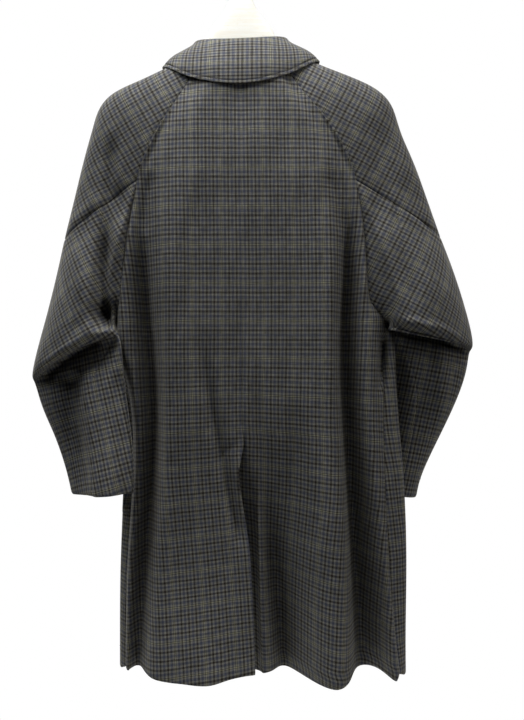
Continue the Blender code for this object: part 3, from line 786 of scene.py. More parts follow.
@dataclass(frozen=True)
class Crease:
    """A soft ridge or trough along a bent line on one face of the coat.

    Its height is `rise` times a bell across the line, e to the minus square of the
    distance over `width`, and fades to nothing over a share of the line at each end.
    """

    face: Face
    name: str
    rise: float
    width: float
    line: tuple[Plan, ...]
    fades: Plan = (0.35, 0.40)
    steps: int = 8

    def height(self, x: Array, drop: Array) -> Array:
        """Height of the crease away from its face.

        Each place takes the nearest of the short straight steps that the line is made of.

        Args:
            x: Places across.
            drop: Their drops.

        Returns:
            Heights in the shape of x.
        """
        path = spline_line(self.line, np.linspace(0, len(self.line) - 1, self.steps * len(self.line)))
        start = path[:-1]
        step = np.diff(path, axis=0)
        length = np.linalg.norm(step, axis=1)
        place = np.stack((x, drop), axis=-1).reshape(-1, 1, 2)
        part = np.clip(((place - start) * step).sum(axis=2) / length ** 2, 0, 1)
        gap = np.linalg.norm(place - start - part[..., None] * step, axis=2)
        nearest = gap.argmin(axis=1)
        rows = np.arange(len(nearest))
        before = np.concatenate(([0.0], np.cumsum(length)))
        along = (before[nearest] + part[rows, nearest] * length[nearest]) / before[-1]
        fade = smooth_step(along, 0.0, self.fades[0]) * (1 - smooth_step(along, 1 - self.fades[1], 1.0))
        bell = np.exp(-(gap[rows, nearest] / self.width) ** 2)
        return (self.rise * bell * fade).reshape(x.shape)


def creases_on(face: Face, *rows: tuple) -> tuple[Crease, ...]:
    """Creases of one face, from rows of name, rise, width, line in millimetres, and fades."""
    return tuple(Crease(face, *metres(row[:4]), *row[4:]) for row in rows)


CREASES = creases_on(
    Face.BACK,
    # The back's long valleys.
    ("left valley top", -6.5, 10, ((-142.8, 343), (-147.2, 373), (-150.2, 403), (-153.1, 447)),
     (0.3, 0.3)),
    ("left valley", -18, 11, ((-155.6, 420), (-151.1, 573), (-140.8, 691), (-140.8, 750),
     (-147.7, 839), (-157, 928), (-166.4, 1017)), (0.25, 0.40)),
    ("right valley top", -6.5, 10, ((123.6, 343), (129.6, 373), (135.5, 403), (142.9, 447)),
     (0.3, 0.3)),
    ("right valley", -15, 10.5, ((144, 388), (150.3, 484), (150.3, 573), (154.7, 691), (157.2, 780),
     (164, 869), (168, 958), (176.9, 1046), (182.8, 1106)), (0.15, 0.10)),
    ("right side notch", -20, 7, ((205, 588), (204.5, 625), (199, 690)), (0.20, 0.50)),
    # The back, beside and below the vent.
    ("vent drag left", -15, 10, ((-79, 558), (-64, 632), (-52.5, 691), (-40.6, 750), (-27, 810),
     (-18, 852), (-11, 885), (-5, 925)), (0.45, 0.14)),
    ("vent drag right", -7, 11, ((17.1, 617), (18.6, 721), (20, 810), (28.9, 891)), (0.40, 0.20)),
    ("vent shade", -12, 12, ((23, 795), (28.9, 869), (37.8, 928), (46.7, 987), (52.6, 1046),
     (57, 1094)), (0.3, 0.05)),
    ("vent pinch", -2.5, 6, ((-8, 752), (-26, 764), (-46, 784))),
    ("seat hollow", -6, 12, ((74.8, 660), (70.4, 750), (71.8, 830), (71.8, 900))),
    ("seat roll", 4, 12, ((94, 640), (96, 760), (102, 870))),
    ("hem wave", 3, 12, ((-98, 960), (-92, 1030), (-86, 1100))),
    ("hem dip", -3, 10, ((-28, 970), (-24, 1040), (-16, 1105))),
    ("hem pucker", -2.2, 5, ((-62, 1060), (-48, 1072), (-34, 1078))),
    # The upper back, under the shoulders.
    ("blade fold left", 7, 14, ((-104, 330), (-105, 470), (-101, 620), (-99, 720))),
    ("blade hollow left", -4, 12, ((-72, 340), (-74, 460), (-72, 580))),
    ("middle slack", 3, 16, ((-18, 420), (-17, 550), (-18, 680))),
    ("middle hollow", -3, 14, ((26, 460), (28, 580), (24, 700))),
    ("blade hollow right", -2.6, 12, ((78, 320), (80, 440), (82, 560))),
    ("blade fold right", 3.5, 12, ((100, 300), (101, 440), (102, 580))),
    # The left sleeve.
    ("left shoulder hollow", -11, 11, ((-203.5, 285), (-206.5, 335), (-207, 400), (-209, 450)),
     (0.30, 0.40)),
    ("left armhole hollow", -7, 12, ((-193, 362), (-188.5, 400), (-185.5, 445)), (0.35, 0.4)),
    ("left cross swell", 4, 13, ((-205, 378), (-240, 405), (-285, 442)), (0.3, 0.3)),
    ("left arm deep fold", -34, 12, ((-209, 385), (-212, 450), (-214, 515), (-215, 560), (-214, 590)),
     (0.50, 0.14)),
    ("left elbow notch", -23, 14, ((-217, 540), (-212, 563), (-207, 590)), (0.35, 0.20)),
    ("left armhole ridge", 8, 6, ((-184, 392), (-185.5, 452), (-188.5, 512), (-188.5, 572),
     (-184, 632), (-179.5, 692)), (0.3, 0.3)),
    ("left arm roll", 4.5, 14, ((-252, 440), (-250, 500), (-238, 560))),
    ("left cross fork", -3, 4, ((-236, 398), (-241, 424), (-246, 452))),
    ("left back-arm ridge", 10, 18, ((-243, 635), (-239.2, 665), (-231.8, 733), (-220.8, 830),
     (-218, 870)), (0.12, 0.02)),
    ("left back-arm crest", 5, 6, ((-243, 635), (-239.2, 665), (-231.8, 733), (-220.8, 830),
     (-218, 870)), (0.20, 0.02)),
    ("left forearm slack", -22, 19, ((-264, 645), (-261, 720), (-250, 800), (-242, 850)),
     (0.10, 0.50)),
    ("left forearm swell", 20, 22, ((-218, 690), (-208, 780), (-200, 870)), (0.9, 0.02)),
    ("left inner turn", -10, 14, ((-192, 640), (-182, 720), (-176, 800), (-174, 870)), (0.2, 0.02)),
    ("left elbow pull", -3, 9, ((-212, 540), (-240, 575), (-276, 600))),
    ("left elbow lip", 5, 6, ((-230, 592), (-242.8, 601), (-265.4, 614), (-285, 626), (-310, 647)),
     (0.40, 0.20)),
    ("left elbow under", -10, 6, ((-220, 600), (-242.8, 614), (-265.4, 627), (-285, 640), (-310, 661)),
     (0.1, 0.1)),
    ("left forearm fold", 3, 10, ((-258, 680), (-250, 730), (-238, 800))),
    ("left forearm dent", -3, 12, ((-282, 680), (-276, 720), (-262, 780))),
    ("left inner fold", -2.2, 7, ((-196, 640), (-200, 700), (-194, 760))),
    # The right sleeve.
    ("right shoulder slack", -3, 14, ((180, 260), (200, 310), (214, 370))),
    ("right armhole hollow", -6, 12, ((189, 375), (195, 413), (196.5, 451)), (0.4, 0.4)),
    ("right cross swell", 4, 13, ((195, 378), (235, 405), (290, 442)), (0.3, 0.3)),
    ("right cross fork", -3, 4, ((260, 412), (272, 430), (284, 450))),
    ("right arm roll", 4, 16, ((262, 430), (268, 500), (286, 570))),
    ("right arm hollow", -3, 12, ((218, 450), (228, 500), (250, 560))),
    ("right elbow lip", 5, 6, ((208, 552), (234, 572), (290, 587), (336, 612)), (0.35, 0.2)),
    ("right elbow under", -10, 6, ((200.5, 574), (235.7, 588), (292.3, 603), (341.2, 627)),
     (0.1, 0.1)),
    ("right forearm edge", 8, 12, ((296, 600), (299, 660), (298, 720), (286, 780)), (0.2, 0.5)),
    ("right forearm dent", -3.5, 10, ((262, 640), (268, 690), (262, 750))),
    ("right wrist fold", -1.8, 6, ((222, 700), (230, 750), (228, 810))),
) + creases_on(
    Face.FRONT,
    # The front, which hangs plainly.
    ("front fold left", 5, 18, ((-100, 480), (-108, 700), (-112, 1000))),
    ("front hollow left", -4.5, 20, ((-58, 560), (-60, 780), (-52, 1080))),
    ("front pull left", -3, 12, ((-150, 420), (-122, 520), (-100, 640))),
    ("front fold right", 4.5, 18, ((112, 460), (118, 690), (130, 1020))),
    ("front hollow right", -4.5, 18, ((76, 540), (78, 800), (86, 1090))),
    ("front pull right", -3, 12, ((152, 430), (128, 540), (108, 660))),
    ("left elbow front", -3.5, 10, ((-300, 560), (-262, 600), (-224, 610))),
    ("left elbow front low", -3, 9, ((-304, 640), (-266, 660), (-226, 656))),
    ("right elbow front", -3.5, 10, ((326, 570), (286, 600), (246, 606))),
    ("right elbow front low", -3, 9, ((332, 640), (290, 664), (250, 660))),
)


class Ripple(NamedTuple):
    """A faint wave over the whole cloth: rise, waves per metre across and down, and phase."""

    rise: float
    across: float
    down: float
    phase: float


RIPPLES = (
    Ripple(0.00055, 12.1, 3.2, 0.3), Ripple(0.00045, 21.3, -5.3, 1.7),
    Ripple(0.00040, 7.3, 8.9, 2.9), Ripple(0.00025, 33.0, 11.0, 4.2),
)


@dataclass
class Cloth:
    """One cut piece of cloth as a grid of eight channels: place, measures and outward way.

    Attributes:
        name: The node that it stands for.
        turned: Borders with a turned edge and how far the turning runs back inside.
        wall: The cloth's thickness.
        cut: Width and length of its cut, if not its longest row and column.
        held: How the cloth is held; not used.
        faces_from: How far the cloth faces a crease's way where the crease starts and is whole.
        sink_from: Where a turned edge starts to sink, in radii, and the share that it sinks there.
    """

    name: str
    grid: Array
    turned: dict[Border, float]
    wall: float = 0.0014
    cut: Plan | None = None
    held: str = "hung"
    round_radius: float = 0.0011
    round_angles: tuple[int, ...] = (30, 60, 90, 120, 150, 180)
    seam_gap: float = 0.0012
    seam_sink: float = 0.0008
    least_step: float = 0.0045
    faces_from: Plan = (0.05, 0.6)
    sink_from: Plan = (3.2, 0.25)

    @classmethod
    def from_points(
        cls, name: str, points: Array, turn: float, turned: dict[Border, float],
        wall: float = 0.0014, cut: Plan | None = None,
    ) -> "Cloth":
        """Makes a piece from its points, still unmeasured.

        Args:
            name: The node that it stands for.
            points: Points (row, column, xyz), with the drop third.
            turn: The side that its grid's normals are on.
            turned: Its turned borders.
            wall: The cloth's thickness.
            cut: Width and length of its cut, if not its longest row and column.

        Returns:
            The piece.
        """
        measures = np.zeros(points.shape[:2] + (2,))
        grid = np.concatenate((points, measures, outward_ways(points, turn)), axis=2)
        return cls(name, grid, turned, wall, cut)

    def crease(self, creases: Iterable[Crease]) -> None:
        """Raises creases and ripples along Y, as far as the cloth faces their way.

        A ripple is a sine of the place across and down. Pieces that share an edge have the
        same places and nearly the same normals on it, so they move together there.

        Args:
            creases: The creases of both faces.
        """
        x, drop = self.grid[..., 0], self.grid[..., 2]
        lift = np.zeros_like(x)
        for face in Face:
            facing = smooth_step(self.grid[..., OUTWARD_Y] * face.value, *self.faces_from)
            height = sum(
                wave.rise * np.sin(2 * math.pi * (wave.across * x + wave.down * drop) + wave.phase)
                for wave in RIPPLES
            )
            for crease in creases:
                if crease.face is face:
                    height = height + crease.height(x, drop)
            lift += face.value * facing * height
        self.grid[..., 1] += lift

    def flat_size(self) -> tuple[Plan, float]:
        """Flat size of the piece, its area being the sum of its grid's parallelograms.

        Returns:
            Width and length of the cut, else its longest row and column, and its area.
        """
        width = run(self.grid[..., PLACE], 1)[:, -1].max()
        length = run(self.grid[..., PLACE], 0)[-1].max()
        if self.cut:
            width, length = self.cut
        down = np.diff(self.grid[..., PLACE], axis=0)[:, :-1]
        over = np.diff(self.grid[..., PLACE], axis=1)[:-1]
        area = np.linalg.norm(np.cross(down, over), axis=2).sum()
        return (float(width), float(length)), float(area)

    @staticmethod
    def to_last_column(grid: Array, border: Border, undo: bool = False) -> Array:
        """Turns or flips a grid so that a border is its last column, or undoes that.

        Args:
            grid: Channels (row, column, channel).
            border: The border.
            undo: Whether the grid is turned back.

        Returns:
            The turned grid.
        """
        if border is Border.FIRST_COLUMN:
            return grid[:, ::-1]
        if border is Border.FIRST_ROW:
            return grid.transpose(1, 0, 2)[::-1] if undo else grid[::-1].transpose(1, 0, 2)
        return grid.transpose(1, 0, 2) if border is Border.LAST_ROW else grid

    def turn_edge(self, border: Border, width: float) -> None:
        """Rolls a border over and runs it back inside, as a hem or a seam's allowance.

        The cloth sinks a little and stops a radius and half a seam gap short of its edge,
        goes round half a circle of that radius, and follows its own points back inside.

        Args:
            border: The border to turn.
            width: How far the turning runs back.
        """
        grid = self.to_last_column(self.grid, border)
        edge, beside = grid[:, -1:], grid[:, -2:-1]
        step = np.linalg.norm((beside - edge)[..., PLACE], axis=2, keepdims=True)
        step = np.maximum(step, self.least_step)
        back = (beside - edge)[..., PLACE] / step
        back /= np.linalg.norm(back, axis=2, keepdims=True) + TINY
        out = edge[..., OUTWARD]
        radius = self.round_radius
        stop = radius + self.seam_gap / 2
        columns = [grid[:, :-1]]
        for before, sink in ((self.sink_from[0] * radius, self.sink_from[1]), (stop, 1.0)):
            column = edge + (beside - edge) * before / step
            column[..., PLACE] -= sink * self.seam_sink * out
            columns.append(column)
        stopped = columns[-1]
        for angle in np.radians(self.round_angles):
            column = stopped.copy()
            column[..., PLACE] += radius * (-math.sin(angle) * back - (1 - math.cos(angle)) * out)
            columns.append(column)
        away = run(grid[..., PLACE][:, ::-1], 1).mean(axis=0)
        # The turning has one column at least.
        width = max(width, np.nextafter(away[1], np.inf))
        inside = np.flatnonzero((away > self.least_step) & (away < width))
        inner = grid[:, ::-1][:, inside].copy()
        inner[..., PLACE] -= 2 * radius * inner[..., OUTWARD]
        columns.append(inner)
        self.grid = self.to_last_column(np.concatenate(columns, axis=1), border, undo=True)

    def line_inside(self, border: Border, inset: float) -> tuple[Array, Array]:
        """The line at a distance inside a border, read between the grid's points.

        Args:
            border: The border.
            inset: The distance.

        Returns:
            The line's points and outward ways.
        """
        grid = self.to_last_column(self.grid, border)[:, ::-1]
        away = run(grid[..., PLACE], 1)
        after = np.clip((away < inset).sum(axis=1), 1, grid.shape[1] - 1)
        rows = np.arange(grid.shape[0])
        part = (inset - away[rows, after - 1]) / (away[rows, after] - away[rows, after - 1] + TINY)
        point = grid[rows, after - 1] + part[:, None] * (grid[rows, after] - grid[rows, after - 1])
        return point[:, PLACE], point[:, OUTWARD]

    def make(self, material: Material) -> None:
        """Args:
            material: The cloth's finish.
        """
        flat, area = self.flat_size()
        for border, width in self.turned.items():
            self.turn_edge(border, width)
        rows, columns = self.grid.shape[:2]
        points = in_frame(self.grid[..., PLACE]).reshape(-1, 3)
        measures = self.grid[..., MEASURE].reshape(-1, 2)
        made = mesh_object(f"{self.name}_cloth", points, grid_faces(rows, columns), material, measures)
        wall = made.modifiers.new("wall", "SOLIDIFY")
        wall.thickness = self.wall
        wall.offset = 0.0
        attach(made, BODY)
        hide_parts(self.name)
        area = min(area, flat[0] * flat[1])
        LOG.info("%s: cut %.0f x %.0f mm, %.3f m2", made.name, 1000 * flat[0], 1000 * flat[1], area)


@dataclass(frozen=True)
class Vent:
    """The back vent, which opens below the waist.

    Attributes:
        underlap, recess: How far the right edge runs on under the left one, and how deep.
        start, opens_over: Where it sinks above the waist, and how soon it is whole.
        clear, clear_rise: How far it first keeps off the left edge, and how soon.
        lift_drop: Where the left edge lifts most.
        curl, swing: How far it lifts there, and how far it swings to the left.
    """

    underlap: float = 0.042
    recess: float = 0.028
    start: float = 0.020
    opens_over: float = 0.040
    clear: float = 0.0010
    clear_rise: float = 6.0
    lift_drop: float = 0.800
    curl: float = 0.008
    swing: float = 0.009

    def shape(self, lines: Array, side: Side) -> Array:
        """Runs the right panel's edge on under the left one, or lifts the left one's edge off it.

        Args:
            lines: Fold lines (line, row, xyz) of the panel, its centre edge first.
            side: The panel's side.

        Returns:
            The same lines with the centre edge moved.
        """
        drop = lines[0, :, 2]
        if side is Side.RIGHT:
            behind = smooth_step(drop, LEVELS.waist - self.start, LEVELS.waist + self.opens_over)
            aside = smooth_step(drop, LEVELS.waist, LEVELS.waist + self.opens_over)
            clear = self.clear * np.minimum(1, self.clear_rise * behind) * (1 - aside)
            lines[0, :, 0] += clear - self.underlap * aside
            lines[0, :, 1] += self.recess * behind
        else:
            lift = smooth_step(drop, LEVELS.waist, self.lift_drop)
            lift = lift * (1 - smooth_step(drop, self.lift_drop, LEVELS.seat))
            lines[0, :, 0] -= self.swing * lift
            lines[0, :, 1] -= self.curl * lift
        return lines


RAGLAN_RIGHT = table(
    Edge,
    (180, 52, -38), (229, 86, -52), (275, 123, -59), (331, 154, -60), (362, 164, -58),
)
RAGLAN_LEFT = table(
    Edge,
    (180, -71, -38), (236, -103, -52), (290, -136, -59), (340, -158, -58), (362, -165, -56),
)
ARMHOLE_RIGHT = table(
    Edge,
    (362, 164, -58), (410, 172, -58), (457, 177, -60), (520, 181, -62), (547, 187, -60),
    (570, 210, -48),
)
ARMHOLE_LEFT = table(
    Edge,
    (362, -165, -56), (410, -174, -54), (467, -183, -54), (527, -189, -54), (552, -193, -50),
    (570, -200, -45),
)
SIDE_RIGHT = table(
    Edge,
    (570, 210, -48), (692, 206, -56), (797, 207, -60), (1006, 218, -66), (1120, 232, -66),
)
SIDE_LEFT = table(
    Edge,
    (570, -200, -45), (602, -200, -40), (644, -190, -26), (720, -177, -13), (850, -178, -12),
    (960, -184, -16), (1120, -184, -20),
)
FRONT_RAGLAN_RIGHT = table(
    Edge,
    (196, 55, 32), (240, 92, 44), (290, 130, 50), (335, 155, 51), (362, 165, 49),
)
FRONT_RAGLAN_LEFT = table(
    Edge,
    (196, -75, 32), (240, -107, 44), (290, -140, 50), (335, -160, 51), (362, -167, 49),
)
FRONT_ARMHOLE_RIGHT = table(
    Edge,
    (362, 165, 49), (410, 173, 47), (460, 179, 40), (515, 189, 14), (548, 199, -18), (570, 210, -48),
)
FRONT_ARMHOLE_LEFT = table(
    Edge,
    (362, -167, 49), (410, -175, 47), (460, -182, 40), (515, -190, 14), (548, -196, -18),
    (570, -200, -45),
)
OVERARM_RIGHT = table(
    Edge,
    (155, 63, 0), (178, 110, 0), (196, 156, 0), (216, 199, 0), (241, 223, 0), (279, 236, 0),
    (327, 256, 0), (384, 277, 0), (446, 299, 0),
)
OVERARM_LEFT = table(
    Edge,
    (163, -82, 0), (187, -130, 0), (207, -174, 0), (226, -211, 0), (248, -229, 0), (272, -237, 0),
    (319, -250, 0), (384, -266, 0), (449, -282, 0),
)
BACK_RIGHT_FOLDS = table(
    Fold,
    ("centre", 0, -5, (-7, -80), (-5, -86), (-5, -87), (4, -78), (16, -66)),
    ("vent dive", 0, 1, (3, -81), (5, -87), (5, -87), (12, -36), (17, -46)),
    ("vent ridge", 0, -4, (16, -82), (18, -88), (18, -88), (19.5, -62), (25, -80)),
    ("vent strip", 0, -4, (24, -82), (27, -89), (26, -87), (28, -52), (38, -68)),
    ("vent valley", 0, 3, (45, -82), (48, -90), (42, -85), (47, -34), (60, -14)),
    ("ridge", 0, 8, (100, -79), (103, -94), (104, -98), (112, -104), (122, -122)),
    ("ridge edge", 0, 6, (122, -74), (126, -92), (132, -96), (142, -102), (146, -114)),
    ("valley floor", 0, 2, (141, -62), (148, -38), (153, -25), (164, -18), (174, -16)),
    ("valley rise", 0, 2, (151, -60), (161, -49), (167, -42), (184, -34), (198, -30)),
    ("side ridge", 0, 8, (158, -59), (176, -74), (184, -74), (206, -70), (222, -80)),
)
BACK_LEFT_FOLDS = table(
    Fold,
    ("centre", 0, -6, (-7, -80), (-5, -86), (-5, -87), (5, -89), (13, -100)),
    ("flat", 0, -4, (-40, -82), (-42, -90), (-42, -92), (-30, -87), (-20, -112)),
    ("ridge", 0, 3, (-83, -83), (-85, -94), (-84, -96), (-70, -90), (-56, -124)),
    ("plane", 0, -1, (-104, -81), (-104, -94), (-102, -96), (-102, -89), (-100, -124)),
    ("ridge edge", 0, -5, (-119, -76), (-120, -88), (-118, -88), (-129, -84), (-138, -112)),
    ("valley floor", 0, -5, (-148, -61), (-154, -38), (-144, -22), (-156, -22), (-166, -40)),
    ("side ridge", 0, -3, (-158, -58), (-176, -64), (-160, -56), (-172, -54), (-177, -60)),
)
FRONT_RIGHT_FOLDS = table(
    Fold,
    ("lap edge", 65, 0, (-40, 70), (-36, 80), (-34, 84), (-30, 86), (-26, 86)),
    ("lap start", 58, 0, (40, 70), (44, 80), (46, 84), (50, 86), (54, 86)),
    ("front", 45, 0, (92, 68), (104, 80), (106, 82), (112, 86), (116, 88)),
    ("front side", 30, 2, (132, 62), (164, 60), (160, 56), (178, 62), (188, 64)),
    ("dent", 22, 4, (150, 56), (206, 4), (194, 4), (214, 12), (226, 12)),
    ("side turn", 18, 7, (159, 52), (225, -36), (232, -44), (241, -42), (240, -44)),
)
FRONT_LEFT_FOLDS = table(
    Fold,
    ("lap edge", 65, 0, (30, 77), (34, 87), (36, 91), (40, 93), (44, 93)),
    ("front", 45, 0, (-86, 70), (-92, 82), (-90, 84), (-86, 88), (-82, 89)),
    ("front side", 30, 4, (-134, 62), (-160, 62), (-154, 62), (-158, 66), (-156, 66)),
    ("side turn", 18, 10, (-159, 52), (-199, -20), (-189, 10), (-196, 12), (-197, 10)),
)


@dataclass(frozen=True)
class Panel:
    """A body panel that hangs in folds, from its middle edge to its outer edge.

    Attributes:
        folds: Its fold lines, from the middle.
        neck: Where the first fold meets the neck.
        columns: Columns of the solid between one fold and the next.
        edges: The edges down its outer side.
        anchor: The fold that the warp threads are counted from.
        droop: How far the weft falls away from the anchor at the hem, for each metre.
        top: How much lower the neck end of its outer edge starts.
        follow: 1 where the folds turn with the outer edge below the blades.
        seen: How far the warp's measure leans towards what is seen from the back.
        edge_pull: The power of the nearness by which folds turn with the outer edge.
        own_line: The levels between which a fold comes onto its own line.
        denser: The drops where that starts and is whole.
        drooping: The drops where the droop starts and is whole.
    """

    name: str
    side: Side
    face: Face
    folds: tuple[Fold, ...]
    neck: Plan
    columns: tuple[int, ...]
    edges: tuple[tuple[Edge, ...], ...]
    anchor: int
    droop: float
    top: float = 0.0
    follow: float = 0.0
    vent: Vent | None = None
    seen: float = 0.0
    edge_pull: float = 6.0
    own_line: Plan = (0.3, 1.0)
    seam_allowance: float = 0.010
    hem_depth: float = 0.036
    hem_density: float = 0.20
    denser: Plan = (0.40, 1.05)
    drooping: Plan = (0.56, 0.98)
    rate_drops: tuple[float, int] = (1.3, 261)
    across_start: float = 0.0073
    along_start: float = 0.0584

    def fold_lines(self, edge: Array) -> Array:
        """Lines down the panel's folds and its outer edge.

        Above the blades each fold keeps its share of the panel's width and depth. Below
        them it has its own line, and the folds nearest the edge turn with it.

        Args:
            edge: Points (row, xyz) of the outer edge.

        Returns:
            Points (line, row, xyz), with the drop third.
        """
        at_levels = [int(np.argmin(np.abs(ROW_PLACES - level))) for level in range(len(LEVELS))]
        key = edge[at_levels, :2]
        drops = np.array(LEVELS)[:, None]
        start = np.array((self.neck, *self.folds[0].plans()))
        first = spline_line(np.hstack((start, drops)), ROW_PLACES)[:, :2]
        upper = (1 - smooth_step(ROW_PLACES, *self.own_line))[:, None]
        lines = []
        for fold in self.folds:
            plan = np.array((self.neck, *fold.plans()))
            share = (plan[1] - key[1]) / (start[1] - key[1])
            scaled = edge[:, :2] + share * (first - edge[:, :2])
            plan[0] = scaled[0]
            near = np.clip(1 - (plan[:, :1] - key[:, :1]) / (start[:, :1] - key[:, :1]), 0, 1)
            near = self.follow * near ** self.edge_pull
            kept = spline_line(np.hstack((plan - near * key, drops)), ROW_PLACES)[:, :2]
            nearness = np.interp(ROW_PLACES, np.arange(len(LEVELS)), near[:, 0])[:, None]
            plan = upper * scaled + (1 - upper) * (kept + nearness * edge[:, :2])
            lines.append(np.column_stack((plan, lowered(ROW_DROPS, fold.top, fold.hem))))
        lines.append(edge)
        return np.array(lines)

    def points(self) -> Array:
        """Smooth lines across the panel's folds at each row.

        Returns:
            Points (row, column, xyz).
        """
        lines = self.fold_lines(joined_edge(self.edges, lowered(ROW_DROPS, self.top, 0.0)))
        if self.vent:
            lines = self.vent.shape(lines, self.side)
        return spline(lines, stations([REFINE * count for count in self.columns])).transpose(1, 0, 2)

    def measures(self, points: Array) -> Array:
        """Cloth measures of the panel.

        Across is the distance along a row from the middle edge, or below the waist from the
        anchor fold. Up to the last fold it leans towards the distance seen from the back, as
        the folds are cut into the cloth's flare. Along is the drop, at a rate that grows
        towards the hem, less the droop times the distance from the anchor.

        Args:
            points: Points (row, column, xyz).

        Returns:
            Measures (row, column, 2).
        """
        step = np.linalg.norm(np.diff(points, axis=1), axis=2)
        inner = REFINE * sum(self.columns[:-1])
        seen = np.abs(np.diff(points[:, :inner + 1, 0], axis=1))
        step[:, :inner] += self.seen * (seen - step[:, :inner])
        over = np.concatenate((np.zeros_like(step[:, :1]), np.cumsum(step, axis=1)), axis=1)
        anchor = REFINE * sum(self.columns[:self.anchor])
        across = over - over[:, anchor:anchor + 1]
        drop = points[..., 2]
        levels = np.linspace(0.0, *self.rate_drops)
        rate = 1 + self.hem_density * smooth_step(levels, *self.denser)
        fallen = np.cumsum(rate) * levels[1]
        along = np.interp(drop, levels, fallen) - np.interp(LEVELS.neck, levels, fallen)
        along = along - self.droop * smooth_step(drop, *self.drooping) * across
        waist = sum(LEVEL_ROWS[:Levels._fields.index("waist")])
        across = across + over[np.minimum(np.arange(len(over)), waist), anchor][:, None]
        return np.stack((across + self.across_start, along - self.along_start), axis=2)

    def cloth(self, points: Array) -> Cloth:
        """The panel as creased cloth, with allowances and a turned hem.

        Args:
            points: Points (row, column, xyz).

        Returns:
            The piece.
        """
        turned = {
            Border.LAST_COLUMN: self.seam_allowance,
            Border.LAST_ROW: self.hem_depth,
            Border.FIRST_COLUMN: self.hem_depth,
        }
        piece = Cloth.from_points(self.name, points, self.side.value * self.face.value, turned)
        piece.crease(CREASES)
        piece.grid[..., MEASURE] = self.measures(piece.grid[..., PLACE])
        return piece


@dataclass
class Body:
    """The four body panels."""

    back_neck: Plan = (-0.009, -0.062)
    front_right_neck: Plan = (-0.046, 0.050)
    front_left_neck: Plan = (0.026, 0.057)
    vent: Vent = field(default_factory=Vent)
    panels: dict[str, Cloth] = field(default_factory=dict)
    edges: dict[str, Array] = field(default_factory=dict)

    def build(self) -> None:
        """Works out the panels and keeps their outer edges for the sleeves."""
        back = {"vent": self.vent, "seen": 0.8}
        front = {"top": FRONT_RAGLAN_RIGHT[0].drop - LEVELS.neck, "follow": 1.0}
        cuts = (
            Panel("back_right", Side.RIGHT, Face.BACK, BACK_RIGHT_FOLDS, self.back_neck,
                  (2, 1, 2, 2, 3, 3, 3, 2, 3, 3), (RAGLAN_RIGHT, ARMHOLE_RIGHT, SIDE_RIGHT),
                  anchor=2, droop=0.22, **back),
            Panel("back_left", Side.LEFT, Face.BACK, BACK_LEFT_FOLDS, self.back_neck,
                  (3, 3, 3, 2, 2, 3, 3), (RAGLAN_LEFT, ARMHOLE_LEFT, SIDE_LEFT),
                  anchor=1, droop=0.15, **back),
            Panel("front_right", Side.RIGHT, Face.FRONT, FRONT_RIGHT_FOLDS, self.front_right_neck,
                  (2, 2, 2, 2, 3, 2), (FRONT_RAGLAN_RIGHT, FRONT_ARMHOLE_RIGHT, SIDE_RIGHT),
                  anchor=1, droop=0.08, **front),
            Panel("front_left", Side.LEFT, Face.FRONT, FRONT_LEFT_FOLDS, self.front_left_neck,
                  (3, 3, 3, 2), (FRONT_RAGLAN_LEFT, FRONT_ARMHOLE_LEFT, SIDE_LEFT),
                  anchor=1, droop=0.08, **front),
        )
        for cut in cuts:
            points = cut.points()
            self.panels[cut.name] = cut.cloth(points)
            self.edges[cut.name] = points[:, -1]


SLEEVE_RIGHT = table(
    Ring,
    ("upper arm", 327, 522, 0, 216, 577, -47, 62, 66, 0, 0, 128),
    ("buckle edge", 348, 610, 0, 214, 585, -45, 54, 70, 2, 10, 152),
    ("buckle tuck", 345, 619, 4, 213, 594, -22, 20, 66, -18, 34, 146),
    ("elbow", 341, 646, 12, 215, 640, 18, 40, 52, 12, 26, 112),
    ("forearm", 311, 733, 32, 213, 735, 42, 42, 46, 0, 0, 95),
    ("wrist", 275, 815, 44, 207, 812, 48, 42, 44, 0, 0, 86),
    ("cuff", 267, 849, 46, 206, 840, 48, 41, 43, 0, 0, 82),
    lengths=-1,
)
SLEEVE_LEFT = table(
    Ring,
    ("upper arm", -307, 556, 0, -198.5, 577.5, -46, 60, 66, 0, 0, 124),
    ("buckle edge", -331, 656, -2, -194, 589, -52, 50, 66, -4, 4, 146),
    ("buckle tuck", -329, 667, 2, -189, 603, -60, 12, 62, -18, 24, 146),
    ("elbow", -318, 699, -2, -184, 652, -68, 24, 56, 6, 20, 104),
    ("forearm", -296, 747, -12, -171, 742, -82, 24, 44, 0, 0, 92),
    ("wrist", -275, 802, -24, -166, 800, -88, 24, 40, 0, 0, 83),
    ("cuff", -266, 836, -30, -166, 828, -88, 24, 38, 0, 0, 76),
    lengths=-1,
)


